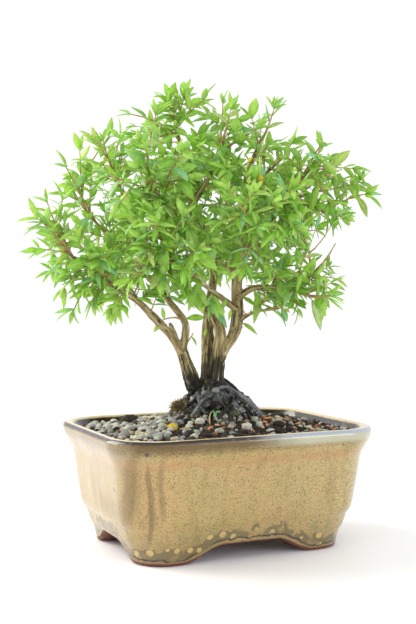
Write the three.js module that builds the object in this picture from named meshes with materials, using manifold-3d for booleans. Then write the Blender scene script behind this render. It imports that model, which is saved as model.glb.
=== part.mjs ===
// A serissa bonsai in its glazed pot. Millimetres, +Z up.
// The pot's long side lies along X, and its front faces -Y.
import * as THREE from 'three';
import { mergeVertices } from 'three/addons/utils/BufferGeometryUtils.js';
import Module from 'manifold-3d';

// Pot. Its corners get tighter towards the foot, and an arch opens each side between two feet.
const POT_LENGTH = 150;
const POT_WIDTH = 118;
const POT_HEIGHT = 65;
const CORNER_RADIUS = 26;
const CORNER_TIGHTENING = 0.55;
const SMALLEST_CORNER = 4;
const CORNER_STEPS = 5;
const FLOOR_TOP = 16.5;
const UNDERSIDE = 9.5;
const FOOT_INSET = 16.5;
const FOOT_WALL = 9.5;
const FOOT_DRAFT = 0.5;
const ARCH_HEIGHT = 8.7;
const ARCH_SWING = 2;
const ARCH_TOE = 0.6;
const FRONT_ARCH = { flat: 28, foot: 76 };
const SIDE_ARCH = { flat: 16, foot: 58 };
const DRAIN_HOLE = { radius: 6, offset: 30, bottom: 3, sides: 16 };

// Lip, cove, tapering wall that turns in low down, and the feet under it: inset and height
const POT_OUTSIDE = [
  [18, 0], [16.7, 1], [15.9, 5], [15.2, 8], [13.4, 10], [12.3, 14], [11.3, 18],
  [9.1, 22.6], [7.3, 34], [5.8, 45], [4.8, 50.5], [2.9, 54.5], [0.6, 59.3], [0, 62.6], [0.8, 64.3],
  [2.8, POT_HEIGHT],
];
const POT_INSIDE = [
  [24, FLOOR_TOP], [19, 18.5], [15.8, 27], [12.6, 48], [7, 63.2], [5.4, POT_HEIGHT + 1],
];

// Drain screens
const SCREEN = { side: 30, thickness: 1.2, mesh: 3, hole: 6, border: 0.3 };

// Soil
const GAP = 0.3;
const SOIL_AT_WALL = 61;
const SOIL_RISE = 9;
const SOIL_RISE_RADIUS = 42;
const SOIL_LUMP = 0.6;
const SOIL_COLUMNS = 13;
const SOIL_ROWS = 10;
const PEBBLES = {
  count: 30, small: 1.7, large: 3.2, width: 0.85, flattest: 0.6, highest: 0.9, lift: 0.15,
  fromRim: 17, fromMound: 5, fromCorner: 1.65,
};

// Tree, in its own frame: across, depth and up from the middle of the pot's base.
// Its front is turned from the pot's front, as the photo shows them both.
const TREE_TURN = 24.6;

// Root mound: radius and height, first in the soil and then above it
const MOUND_RADIUS = 26;
const MOUND_SIDES = 14;
const MOUND_IN_SOIL = [[17, 44], [MOUND_RADIUS - 0.4, 63]];
const MOUND_COLLAR = 68;
const MOUND_WAIST = 25.4;
const MOUND_ABOVE = [[24, 72.5], [16, 78.5], [8.5, 83.5], [0, 85]];
const MOUND_LUMP = { size: 0.9, from: 70, to: 84 };

// Surface roots: radius and height of each point, and how much of the root's bend it takes
const ROOT_COUNT = 7;
const ROOT_POINTS = [[4, 86, 0], [12, 81.8, 0.3], [19.5, 76.2, 0.8], [23, 69, 1]];
const ROOT_RADIUS = { thin: 3, thick: 4.2, end: 2.2 };
const ROOT_SPREAD = 0.25;
const ROOT_BEND = 0.35;
const ROOT_SIDES = 5;

// Crown: how far the foliage reaches from its heart, by angle in the front view (degrees, mm)
const CROWN_HEART = [-8, 0, 172];
const CROWN_DEPTH = 78;
const CROWN_OUTLINE = [
  [0, 88], [16, 99], [37, 86], [50, 70], [64, 68], [74, 75], [96, 81], [106, 86],
  [122, 80], [137, 88], [154, 90], [171, 98], [186, 98], [199, 90], [217, 86],
  [228, 68], [242, 46], [270, 40], [302, 48], [320, 88], [332, 84], [346, 76],
];

// Leafy shoots
const SPRAY_COUNT = 44;
const LOWEST_SPRAY = -0.5;
const OUTER_SHARE = 0.88;
const INNER_SHARE = 0.6;
const SHOOT = { length: 36, baseRadius: 1, tipRadius: 0.7, sides: 4, steps: 24, ahead: 0.3, rise: 0.12 };
const SHOOT_SHARES = [0, 0.33, 0.67, 1];
const SHOOT_ROOM = 1.5;
const BASES_TRIED = 12;
const TURN_COST = 14;
const REUSE_COST = 12;
const LEAFY_FROM = 0.35;

// Leaves: a pair at the shoot's tip, a pair near it and a pair half way, each as the share of the
// shoot's length, the quarter that it is turned by and how far it leans out
const LEAF_PAIRS = [[1, 0, 0.4], [0.88, 0.5, 0.95], [0.5, 0, 1.1]];
const LEAF = { length: 16.5, width: 7, thickness: 0.7, droop: 0.25, smallest: 0.88, largest: 1.05 };
const LEAF_SWINGS = [0, 0.5, -0.5];
const TIP_STEP = 0.05;
const SWING_LEAN = 0.3;

const GOLDEN_ANGLE = Math.PI * (3 - Math.sqrt(5));
const MERGE_DISTANCE = 1e-4;
const CUT_PAST = 1;

const LOOKS = {
  glaze: { color: '#c4a86c', roughness: 0.28, metalness: 0 },
  screen: { color: '#23262a', roughness: 0.6, metalness: 0 },
  soil: { color: '#3a2f27', roughness: 0.95, metalness: 0 },
  wood: { color: '#8f7a54', roughness: 0.85, metalness: 0 },
  leaf: { color: '#6aae45', roughness: 0.45, metalness: 0 },
};

// The branches, with their radii at the start and the end and the way that each one takes.
// A leafy branch carries shoots on its outer part.
const THICK_LIMB = { from: 2.1, sides: 6 };
const THIN_LIMB_SIDES = 4;
const LIMB_DOME = 0.6;
const LIMBS = {
  'left stem': { radii: [4.6, 2.9], leafy: false,
    path: [[-8.5, -2, 79], [-12, -2, 87], [-14, -3, 93], [-16, -4, 99], [-18, -5, 105]] },
  'left low branch': { radii: [2.5, 0.8], leafy: true,
    path: [[-18, -5, 104], [-25, -9, 114.5], [-34.5, -14, 125], [-41.5, -19, 132],
      [-50.5, -26, 138.5], [-59.5, -33, 144], [-69, -38, 151], [-76, -42, 158]] },
  'left high branch': { radii: [2.4, 0.8], leafy: true,
    path: [[-18, -5, 104], [-16, -4, 112.5], [-16.5, -3, 120.5], [-23.5, 0, 129.5], [-31.5, 4, 138.5],
      [-41, 8, 148.5], [-51.5, 12, 158.5], [-61.5, 15, 169.5], [-72, 18, 181.5]] },
  'left rising branch': { radii: [1.4, 0.8], leafy: true,
    path: [[-41, 8, 148.5], [-42, 2, 159], [-44.5, -6, 172.5], [-48.5, -12, 186.5], [-54, -16, 200]] },
  'left stub': { radii: [1.3, 0.9], leafy: false,
    path: [[-19, -5, 106], [-21, -6, 112.5], [-24.5, -7, 119.5]] },
  'middle stem': { radii: [4.8, 2.7], leafy: false,
    path: [[-3.5, 0, 79], [-3.5, 0, 89.5], [-3.5, 1, 104.5], [-4, 2, 114.5], [-3.5, 2, 124]] },
  'middle leader': { radii: [2.7, 0.9], leafy: true,
    path: [[-3.5, 2, 123], [-2.5, 2, 132], [-1, 3, 140.5], [-1, 4, 150.5], [-3, 5, 160.5],
      [-7, 6, 171.5], [-11.5, 7, 184.5], [-14.5, 8, 199], [-18, 9, 214.5], [-21, 10, 226]] },
  'middle front branch': { radii: [1.6, 0.8], leafy: true,
    path: [[-3, 5, 160.5], [-9, -8, 166.5], [-16.5, -22, 173], [-24, -36, 180.5], [-31, -45, 187]] },
  'middle back branch': { radii: [1.5, 0.8], leafy: true,
    path: [[-7, 6, 171.5], [-14, 20, 180], [-23.5, 36, 189], [-34.5, 50, 197]] },
  'middle top branch': { radii: [1.4, 0.8], leafy: true,
    path: [[-11.5, 7, 184.5], [-5, -4, 194.5], [0.5, -14, 206.5], [4, -19, 216]] },
  'second stem': { radii: [4.4, 2.3], leafy: false,
    path: [[0, -3, 79], [1, -4, 90.5], [2.5, -4, 105], [3, -3, 114.5], [-0.5, 0, 123.5], [-3, 2, 129.5]] },
  'right stem foot': { radii: [2.2, 3.4], leafy: false,
    path: [[3, -4, 98.5], [6, -2, 106.5], [9.5, 0, 111.5], [12, 2, 118]] },
  'right leader': { radii: [3.5, 1], leafy: true,
    path: [[11.5, 1.6, 117], [12.5, 2, 126.5], [12, 2, 142.5], [13, 2, 152.5], [14.5, 2, 164.5],
      [15.5, 2, 184], [17, 2, 193], [19, 0, 203.5], [23, -4, 213], [26, -7, 219]] },
  'cross branch': { radii: [1.8, 0.8], leafy: true,
    path: [[10.5, 1, 127.5], [5, -2, 132], [0.5, -7, 135.5], [-6, -14, 140.5], [-13, -24, 147],
      [-20, -36, 152], [-27.5, -46, 155.5]] },
  'right low branch': { radii: [2, 0.8], leafy: true,
    path: [[12.5, 2, 133], [19, 0, 137.5], [26, -3, 139], [34, -6, 138.5], [41, -9, 139],
      [48, -12, 142], [55, -15, 149]] },
  'right drooping branch': { radii: [1.3, 0.8], leafy: true,
    path: [[34, -6, 138.5], [43, -16, 136.5], [50.5, -25, 134]] },
  'right twig': { radii: [1.2, 0.7], leafy: true,
    path: [[13, 2, 120], [18, 0, 123.5], [23, -2, 125.5], [28.5, -5, 126.5]] },
  'right high branch': { radii: [1.9, 0.8], leafy: true,
    path: [[15.5, 2, 183], [22.5, 6, 185], [30.5, 10, 187], [41, 15, 188], [52, 20, 186], [62.5, 24, 181]] },
  'right rising branch': { radii: [1.3, 0.8], leafy: true,
    path: [[41, 15, 188], [46, 10, 194.5], [51, 4, 201.5]] },
  'back right branch': { radii: [1.9, 0.8], leafy: true,
    path: [[13, 2, 152.5], [20, 16, 158.5], [28.5, 32, 164], [38.5, 46, 168.5]] },
  'back top branch': { radii: [1.8, 0.8], leafy: true,
    path: [[14.5, 2, 164.5], [12, 16, 173], [8, 32, 184], [4.5, 45, 196]] },
  'front right branch': { radii: [1.8, 0.8], leafy: true,
    path: [[15, 2, 174.5], [21, -10, 178], [26.5, -24, 180], [33, -38, 182]] },
  'back left branch': { radii: [1.8, 0.8], leafy: true,
    path: [[12.2, 2, 141.5], [10, 18, 147.5], [4.5, 34, 153], [-3.5, 48, 158]] },
  'front branch': { radii: [1.8, 0.8], leafy: true,
    path: [[13, 2, 152.5], [16.5, -14, 156.5], [18, -30, 160], [19.5, -43, 162.5]] },
  'top right branch': { radii: [1.5, 0.8], leafy: true,
    path: [[17, 2, 193], [26, 10, 200], [35.5, 18, 208.5]] },
};

const wasm = await Module();
wasm.setup();

// Chance, always in the same order
let seed = 4827;

function chance(low, high) {
  seed = (seed * 16807) % 2147483647;
  return low + (high - low) * (seed / 2147483647);
}

// Solids and meshes

function solid(geometry) {
  const plain = geometry.clone();
  plain.deleteAttribute('normal');
  plain.deleteAttribute('uv');
  const merged = mergeVertices(plain, MERGE_DISTANCE);
  const corners = [];
  for (let i = 0; i < merged.index.count; i += 3) {
    const [a, b, c] = [0, 1, 2].map((k) => merged.index.getX(i + k));
    if (a !== b && b !== c && c !== a) corners.push(a, b, c);
  }
  return new wasm.Manifold(new wasm.Mesh({
    numProp: 3,
    vertProperties: new Float32Array(merged.attributes.position.array),
    triVerts: new Uint32Array(corners),
  }));
}

function join(solids) {
  return solids.reduce((whole, next) => whole.add(next));
}

function named(name, manifold, look) {
  const { vertProperties, triVerts } = manifold.getMesh();
  const geometry = new THREE.BufferGeometry();
  geometry.setAttribute('position', new THREE.BufferAttribute(new Float32Array(vertProperties), 3));
  geometry.setIndex(new THREE.BufferAttribute(new Uint32Array(triVerts), 1));
  geometry.computeVertexNormals();
  const mesh = new THREE.Mesh(geometry, new THREE.MeshStandardMaterial(look));
  mesh.name = name;
  return mesh;
}

function moveVertices(geometry, placeVertex) {
  const positions = geometry.attributes.position;
  const vertex = new THREE.Vector3();
  for (let i = 0; i < positions.count; i += 1) {
    vertex.fromBufferAttribute(positions, i);
    placeVertex(vertex, i);
    positions.setXYZ(i, vertex.x, vertex.y, vertex.z);
  }
  return geometry;
}

// Rounded rectangle of the pot, drawn in by the same distance on all four sides

const OUTLINE_POINTS = 4 * (CORNER_STEPS + 1);

function outlinePoint(index, inset) {
  const halfLength = POT_LENGTH / 2 - inset;
  const halfWidth = POT_WIDTH / 2 - inset;
  const radius = Math.max(CORNER_RADIUS - CORNER_TIGHTENING * inset, SMALLEST_CORNER);
  const corner = Math.floor(index / (CORNER_STEPS + 1));
  const angle = (Math.PI / 2) * (corner + (index % (CORNER_STEPS + 1)) / CORNER_STEPS);
  const alongX = corner === 0 || corner === 3 ? 1 : -1;
  const alongY = corner < 2 ? 1 : -1;
  return [
    alongX * (halfLength - radius) + radius * Math.cos(angle),
    alongY * (halfWidth - radius) + radius * Math.sin(angle),
  ];
}

// A body drawn through rings of the pot's outline, each ring given as its inset and its height
function outlineBody(rings) {
  const geometry = new THREE.CylinderGeometry(1, 1, 1, OUTLINE_POINTS, rings.length - 1);
  geometry.rotateX(Math.PI / 2);
  return solid(moveVertices(geometry, (vertex) => {
    const ring = Math.round((vertex.z + 0.5) * (rings.length - 1));
    const turn = Math.atan2(vertex.y, vertex.x) / (2 * Math.PI);
    const index = Math.round((turn + 1) * OUTLINE_POINTS) % OUTLINE_POINTS;
    const [inset, height] = rings[ring];
    const isEndCentre = Math.hypot(vertex.x, vertex.y) < 0.5;
    const [x, y] = isEndCentre ? [0, 0] : outlinePoint(index, inset);
    vertex.set(x, y, height);
  }));
}

// Pot

// The space under one side between two feet: a flat top that runs down to each foot in an S
function archSpace(arch, length) {
  const flat = arch.flat / 2;
  const foot = arch.foot / 2;
  const middle = (flat + foot) / 2;
  const shape = new THREE.Shape();
  shape.moveTo(-foot - CUT_PAST, -CUT_PAST);
  shape.lineTo(foot + CUT_PAST, -CUT_PAST);
  shape.lineTo(foot, 0);
  shape.quadraticCurveTo(middle + ARCH_SWING, ARCH_TOE, middle, ARCH_HEIGHT / 2);
  shape.quadraticCurveTo(middle - ARCH_SWING, ARCH_HEIGHT, flat, ARCH_HEIGHT);
  shape.lineTo(-flat, ARCH_HEIGHT);
  shape.quadraticCurveTo(ARCH_SWING - middle, ARCH_HEIGHT, -middle, ARCH_HEIGHT / 2);
  shape.quadraticCurveTo(-middle - ARCH_SWING, ARCH_TOE, -foot, 0);
  const geometry = new THREE.ExtrudeGeometry(shape, { depth: length, bevelEnabled: false, curveSegments: 4 });
  geometry.translate(0, 0, -length / 2);
  geometry.rotateX(Math.PI / 2);
  return geometry;
}

function potSolid() {
  const outside = outlineBody(POT_OUTSIDE);
  const inside = outlineBody(POT_INSIDE);
  const footBack = FOOT_INSET + FOOT_WALL;
  const underside = outlineBody([[footBack, -CUT_PAST], [footBack + FOOT_DRAFT, UNDERSIDE]]);
  const frontArch = solid(archSpace(FRONT_ARCH, POT_WIDTH));
  const sideArch = solid(archSpace(SIDE_ARCH, POT_LENGTH).rotateZ(Math.PI / 2));
  const drains = [-1, 1].map((side) => {
    const { radius, offset, bottom, sides } = DRAIN_HOLE;
    const hole = new THREE.CylinderGeometry(radius, radius, FLOOR_TOP, sides);
    hole.rotateX(Math.PI / 2);
    hole.translate(side * offset, 0, FLOOR_TOP / 2 + bottom);
    return solid(hole);
  });
  return [inside, underside, frontArch, sideArch, ...drains].reduce((pot, cut) => pot.subtract(cut), outside);
}

function screenSolid(side) {
  const plate = new THREE.BoxGeometry(SCREEN.side, SCREEN.side, SCREEN.thickness);
  const pitch = SCREEN.side / (SCREEN.mesh + SCREEN.border);
  const holes = [];
  for (let row = 0; row < SCREEN.mesh; row += 1) {
    for (let column = 0; column < SCREEN.mesh; column += 1) {
      const hole = new THREE.BoxGeometry(SCREEN.hole, SCREEN.hole, SCREEN.thickness * 3);
      hole.translate((row - 1) * pitch, (column - 1) * pitch, 0);
      holes.push(solid(hole));
    }
  }
  const screen = holes.reduce((whole, hole) => whole.subtract(hole), solid(plate));
  return screen.translate([side * DRAIN_HOLE.offset, 0, screenHeight()]);
}

function screenHeight() {
  return FLOOR_TOP + GAP + SCREEN.thickness / 2;
}

// Soil: fills the pot, rises towards the tree, and has granules and pebbles in its surface

function soilHeight(x, y) {
  const distance = Math.hypot(x, y) / SOIL_RISE_RADIUS;
  return SOIL_AT_WALL + SOIL_RISE * Math.exp(-(distance ** 2.5));
}

function pebble() {
  const radius = chance(PEBBLES.small, PEBBLES.large);
  const along = chance(-1, 1);
  const across = chance(-1, 1);
  const x = along * (POT_LENGTH / 2 - PEBBLES.fromRim);
  const y = across * (POT_WIDTH / 2 - PEBBLES.fromRim);
  const turn = chance(0, Math.PI);
  const squash = chance(PEBBLES.flattest, PEBBLES.highest);
  const nearTree = Math.hypot(x, y) < MOUND_RADIUS + PEBBLES.fromMound;
  const nearCorner = Math.abs(along) + Math.abs(across) > PEBBLES.fromCorner;
  if (nearTree || nearCorner) return null;
  const geometry = new THREE.IcosahedronGeometry(radius, 0);
  geometry.scale(1, PEBBLES.width, squash);
  geometry.rotateZ(turn);
  geometry.translate(x, y, soilHeight(x, y) + radius * PEBBLES.lift);
  return solid(geometry);
}

// The ground up to the soil's lumpy surface, wider than the pot
function groundSolid() {
  const geometry = new THREE.BoxGeometry(POT_LENGTH, POT_WIDTH, POT_HEIGHT, SOIL_COLUMNS, SOIL_ROWS, 1);
  const corners = (SOIL_COLUMNS + 1) * (SOIL_ROWS + 1);
  const lumps = Array.from({ length: corners }, () => chance(-SOIL_LUMP, SOIL_LUMP));
  return solid(moveVertices(geometry, (vertex) => {
    if (vertex.z < 0) return;
    const column = Math.round((vertex.x / POT_LENGTH + 0.5) * SOIL_COLUMNS);
    const row = Math.round((vertex.y / POT_WIDTH + 0.5) * SOIL_ROWS);
    vertex.z = soilHeight(vertex.x, vertex.y) + lumps[row * (SOIL_COLUMNS + 1) + column];
  }));
}

function soilSolid() {
  const rings = POT_INSIDE.map(([inset, height]) => [inset + GAP, height]);
  rings[0][1] += GAP;
  rings[rings.length - 1] = [rings[rings.length - 2][0], POT_HEIGHT + SOIL_RISE];
  const ground = outlineBody(rings).intersect(groundSolid());
  const pebbles = [];
  while (pebbles.length < PEBBLES.count) {
    const next = pebble();
    if (next) pebbles.push(next);
  }
  const roomSide = SCREEN.side + 2 * GAP;
  const rooms = [-1, 1].map((side) => {
    const room = new THREE.BoxGeometry(roomSide, roomSide, SCREEN.thickness + 2 * GAP);
    return solid(room.translate(side * DRAIN_HOLE.offset, 0, screenHeight()));
  });
  return [...rooms, moundRoom()].reduce((soil, cut) => soil.subtract(cut), join([ground, ...pebbles]));
}

// Wood: the root mound, the surface roots on it, the stems and the branches

function turned(profile) {
  const points = profile.map(([radius, z]) => new THREE.Vector2(radius, z));
  return new THREE.LatheGeometry(points, MOUND_SIDES).rotateX(Math.PI / 2);
}

// The hole in the soil that the root ball stands in, a gap wider than it and open at the top
function moundRoom() {
  const bottom = MOUND_IN_SOIL[0][1] - GAP;
  const wall = MOUND_IN_SOIL.map(([radius, z]) => [radius + GAP, z]);
  wall[0][1] = bottom;
  const top = POT_HEIGHT + 2 * SOIL_RISE;
  const collar = MOUND_RADIUS + GAP;
  return solid(turned([[0, bottom], ...wall, [collar, MOUND_COLLAR], [collar, top], [0, top]]));
}

function moundSolid() {
  const bottom = [0, MOUND_IN_SOIL[0][1]];
  const profile = [bottom, ...MOUND_IN_SOIL, [MOUND_WAIST, MOUND_COLLAR], ...MOUND_ABOVE];
  const { size, from, to } = MOUND_LUMP;
  const lumps = Array.from({ length: MOUND_SIDES * profile.length }, () => chance(-size, size));
  return solid(moveVertices(turned(profile), (vertex, index) => {
    if (vertex.z < from || vertex.z > to) return;
    const lump = lumps[index % lumps.length];
    const swell = 1 + lump / MOUND_RADIUS;
    vertex.set(vertex.x * swell, vertex.y * swell, vertex.z + lump);
  }));
}

// A tapering round limb along a row of points, with domed ends
function limb(path, radii, sides) {
  const last = path.length - 1;
  const geometry = new THREE.CylinderGeometry(1, 1, 1, sides, last);
  const places = path.map((point) => new THREE.Vector3(...point));
  const frames = [];
  let normal = new THREE.Vector3(0.3, 1, 0.2);
  for (let i = 0; i <= last; i += 1) {
    const ahead = places[Math.min(i + 1, last)].clone().sub(places[Math.max(i - 1, 0)]).normalize();
    normal = normal.clone().addScaledVector(ahead, -normal.dot(ahead)).normalize();
    frames.push({ ahead, normal, side: normal.clone().cross(ahead) });
  }
  return solid(moveVertices(geometry, (vertex) => {
    const step = Math.round((vertex.y + 0.5) * last);
    const radius = THREE.MathUtils.lerp(radii[0], radii[1], step / last);
    const { ahead, normal: first, side } = frames[step];
    const isEndCentre = Math.hypot(vertex.x, vertex.z) < 0.5;
    const dome = isEndCentre ? Math.sign(vertex.y) * radius * LIMB_DOME : 0;
    const point = places[step].clone();
    point.addScaledVector(first, vertex.x * radius);
    point.addScaledVector(side, vertex.z * radius);
    point.addScaledVector(ahead, dome);
    vertex.copy(point);
  }));
}

function surfaceRoot(index) {
  const angle = (index / ROOT_COUNT) * 2 * Math.PI + chance(-ROOT_SPREAD, ROOT_SPREAD);
  const bend = chance(-ROOT_BEND, ROOT_BEND);
  const path = ROOT_POINTS.map(([radius, height, share]) => {
    const turn = angle + bend * share;
    return [radius * Math.cos(turn), radius * Math.sin(turn), height];
  });
  return limb(path, [chance(ROOT_RADIUS.thin, ROOT_RADIUS.thick), ROOT_RADIUS.end], ROOT_SIDES);
}

function woodSolid() {
  const roots = Array.from({ length: ROOT_COUNT }, (_, index) => surfaceRoot(index));
  const branches = Object.values(LIMBS).map(({ path, radii }) => {
    const sides = radii[0] > THICK_LIMB.from ? THICK_LIMB.sides : THIN_LIMB_SIDES;
    return limb(path, radii, sides);
  });
  return join([moundSolid(), ...roots, ...branches]);
}

// Room: every twig and leaf is known by the capsules that hold it, so that none crosses another

function capsules(path, radii, owner) {
  const points = path.map((point) => new THREE.Vector3(...point));
  return points.slice(1).map((end, i) => {
    const share = i / (points.length - 1);
    return { start: points[i], end, radius: THREE.MathUtils.lerp(radii[0], radii[1], share), owner };
  });
}

function limbCapsules() {
  return Object.values(LIMBS).flatMap(({ path, radii }) => capsules(path, radii, 'wood'));
}

function closestDistance(one, other) {
  const first = one.end.clone().sub(one.start);
  const second = other.end.clone().sub(other.start);
  const between = one.start.clone().sub(other.start);
  const a = first.dot(first);
  const e = second.dot(second);
  const f = second.dot(between);
  const c = first.dot(between);
  const b = first.dot(second);
  const spread = a * e - b * b;
  let s = spread > 1e-9 ? THREE.MathUtils.clamp((b * f - c * e) / spread, 0, 1) : 0;
  const t = THREE.MathUtils.clamp((b * s + f) / e, 0, 1);
  s = THREE.MathUtils.clamp((b * t - c) / a, 0, 1);
  const onFirst = one.start.clone().addScaledVector(first, s);
  return onFirst.distanceTo(other.start.clone().addScaledVector(second, t));
}

function isClear(capsule, others, margin) {
  return others.every((other) => other.owner === capsule.owner
    || closestDistance(capsule, other) > capsule.radius + other.radius + margin);
}

// Crown: the tips of the shoots lie on a golden spiral over it, some of them further in

function outlineReach(angle) {
  const degrees = (THREE.MathUtils.radToDeg(angle) + 360) % 360;
  const next = CROWN_OUTLINE.findIndex(([at]) => at > degrees);
  const [highAngle, highReach] = next < 0 ? [360, CROWN_OUTLINE[0][1]] : CROWN_OUTLINE[next];
  const [lowAngle, lowReach] = CROWN_OUTLINE[next < 0 ? CROWN_OUTLINE.length - 1 : next - 1];
  return THREE.MathUtils.lerp(lowReach, highReach, (degrees - lowAngle) / (highAngle - lowAngle));
}

function shootTip(index) {
  const rise = 1 + (LOWEST_SPRAY - 1) * ((index + 0.5) / SPRAY_COUNT);
  const level = Math.sqrt(1 - rise * rise);
  const across = level * Math.cos(index * GOLDEN_ANGLE);
  const depth = level * Math.sin(index * GOLDEN_ANGLE);
  const reach = 1 / Math.hypot(Math.hypot(across, rise) / outlineReach(Math.atan2(rise, across)),
    depth / CROWN_DEPTH);
  const share = index % 4 === 2 ? INNER_SHARE : OUTER_SHARE;
  const [heartAcross, heartDepth, heartUp] = CROWN_HEART;
  return new THREE.Vector3(heartAcross + across * reach * share, heartDepth + depth * reach * share,
    heartUp + rise * reach * share);
}

// Every place on the outer part of a leafy branch where a shoot may start
function shootBases() {
  const bases = [];
  Object.values(LIMBS).filter(({ leafy }) => leafy).forEach(({ path }) => {
    const last = path.length - 1;
    for (let half = Math.ceil(2 * last * LEAFY_FROM); half <= 2 * last; half += 1) {
      const low = Math.min(Math.floor(half / 2), last - 1);
      const start = new THREE.Vector3(...path[low]);
      const end = new THREE.Vector3(...path[low + 1]);
      const point = start.clone().lerp(end, half / 2 - low);
      bases.push({ point, ahead: end.sub(start).normalize(), used: 0 });
    }
  });
  return bases;
}

function baseCost(base, tip) {
  const towards = tip.clone().sub(base.point);
  const length = towards.length();
  const turn = towards.normalize().dot(base.ahead);
  return Math.abs(length - SHOOT.length) + TURN_COST * (1 - turn) + REUSE_COST * base.used;
}

// The curve of a shoot, from where it is clear of its branch to its tip, or nothing if it meets another
function shootCurve(base, tip, taken) {
  const length = base.point.distanceTo(tip);
  const { steps } = SHOOT;
  const bend = base.point.clone().addScaledVector(base.ahead, length * SHOOT.ahead);
  bend.z += length * SHOOT.rise;
  const curve = new THREE.QuadraticBezierCurve3(base.point, bend, tip);
  const points = curve.getPoints(steps);
  const isFree = (i) => {
    const stretch = { start: points[i], end: points[i + 1], radius: SHOOT.baseRadius, owner: 'new shoot' };
    return isClear(stretch, taken, GAP);
  };
  let first = 0;
  while (first < steps / 2 && !isFree(first)) first += 1;
  for (let i = first; i < steps; i += 1) {
    if (!isFree(i)) return null;
  }
  const at = (share) => curve.getPoint((first + share * (steps - first)) / steps);
  return { at, length };
}

function growShoots() {
  const taken = limbCapsules();
  const bases = shootBases();
  const shoots = [];
  for (let index = 0; index < SPRAY_COUNT; index += 1) {
    const tip = shootTip(index);
    const ranked = bases.map((base) => ({ base, cost: baseCost(base, tip) })).sort((a, b) => a.cost - b.cost);
    for (const { base } of ranked.slice(0, BASES_TRIED)) {
      const curve = shootCurve(base, tip, taken);
      if (curve) {
        const path = SHOOT_SHARES.map((share) => curve.at(share).toArray());
        const owner = shoots.length;
        base.used += 1;
        shoots.push({ ...curve, path, owner });
        taken.push(...capsules(path, [SHOOT.baseRadius + SHOOT_ROOM, SHOOT.tipRadius + SHOOT_ROOM], owner));
        break;
      }
    }
  }
  return shoots;
}

// Leaf: a pointed blade, widest below its middle and bent down towards the tip.
// Each row across it is a share of its length and a share of its half width.
const BLADE_ROWS = [[0, 0], [0.32, 1], [0.7, 0.82], [1, 0]];

function leafPoint(leaf, share, aside, lift) {
  const point = leaf.foot.clone().addScaledVector(leaf.along, share * leaf.length);
  point.addScaledVector(leaf.side, aside);
  return point.addScaledVector(leaf.face, lift - LEAF.droop * leaf.length * share * share);
}

function leafSolid(leaf) {
  const last = BLADE_ROWS.length - 1;
  const geometry = new THREE.BoxGeometry(leaf.width, last, LEAF.thickness, 1, last, 1);
  return solid(moveVertices(geometry, (vertex) => {
    const [share, breadth] = BLADE_ROWS[Math.round(vertex.y + last / 2)];
    vertex.copy(leafPoint(leaf, share, vertex.x * breadth, vertex.z));
  }));
}

function leafCapsules(leaf) {
  const ribs = [0, 0.5, 1].map((share) => leafPoint(leaf, share, 0, 0).toArray());
  const radius = leaf.width / 2 + LEAF.thickness;
  return capsules(ribs, [radius, radius], leaf.owner);
}

// A leaf at a share of its shoot's length, turned round the shoot and leaning out from it
function makeLeaf(shoot, share, turn, lean) {
  const foot = shoot.at(share);
  const before = shoot.at(Math.min(share, 1 - TIP_STEP));
  const ahead = shoot.at(Math.min(share + TIP_STEP, 1)).sub(before).normalize();
  const level = new THREE.Vector3(0, 0, 1).cross(ahead).normalize();
  const outward = level.applyAxisAngle(ahead, turn);
  const along = outward.clone().multiplyScalar(Math.sin(lean)).addScaledVector(ahead, Math.cos(lean));
  const side = ahead.clone().cross(outward).normalize();
  const face = side.clone().cross(along).normalize();
  if (face.z < 0) {
    face.negate();
    side.negate();
  }
  const size = chance(LEAF.smallest, LEAF.largest);
  const length = LEAF.length * size;
  const width = LEAF.width * size;
  return { foot, along, side, face, length, width, owner: shoot.owner };
}

function leavesOf(shoot, taken) {
  const first = chance(0, Math.PI);
  const leaves = [];
  LEAF_PAIRS.forEach(([share, quarter, lean]) => {
    [0, 1].forEach((half) => {
      const turn = first + (quarter + half) * Math.PI;
      for (const swing of LEAF_SWINGS) {
        const leaf = makeLeaf(shoot, share, turn + swing, lean + Math.abs(swing) * SWING_LEAN);
        const room = leafCapsules(leaf);
        if (room.every((capsule) => isClear(capsule, taken, GAP))) {
          leaves.push(leaf);
          taken.push(...room);
          break;
        }
      }
    });
  });
  return leaves;
}

function growSprays() {
  const shoots = growShoots();
  const taken = limbCapsules();
  shoots.forEach(({ path, owner }) => {
    taken.push(...capsules(path, [SHOOT.baseRadius, SHOOT.tipRadius], owner));
  });
  return shoots.map((shoot) => {
    const stem = limb(shoot.path, [SHOOT.baseRadius, SHOOT.tipRadius], SHOOT.sides);
    return join([stem, ...leavesOf(shoot, taken).map(leafSolid)]);
  });
}

// The whole plant, with the middle of its outer box over the origin
const bonsai = new THREE.Group();
bonsai.name = 'serissa_bonsai';
bonsai.add(named('pot', potSolid(), LOOKS.glaze));
bonsai.add(named('drain_screen_left', screenSolid(-1), LOOKS.screen));
bonsai.add(named('drain_screen_right', screenSolid(1), LOOKS.screen));
bonsai.add(named('soil', soilSolid(), LOOKS.soil));

const tree = new THREE.Group();
tree.rotation.z = -THREE.MathUtils.degToRad(TREE_TURN);
tree.add(named('trunk', woodSolid(), LOOKS.wood));
growSprays().forEach((spray, index) => {
  const name = `spray_${String(index + 1).padStart(2, '0')}`;
  tree.add(named(name, spray, LOOKS.leaf));
});
bonsai.add(tree);

bonsai.updateMatrixWorld(true);
const middle = new THREE.Box3().setFromObject(bonsai, true).getCenter(new THREE.Vector3());
bonsai.position.set(-middle.x, -middle.y, 0);

export default bonsai;
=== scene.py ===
import functools
import math

import bmesh
import bpy
import numpy as np
from mathutils import Matrix, Vector, noise


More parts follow.
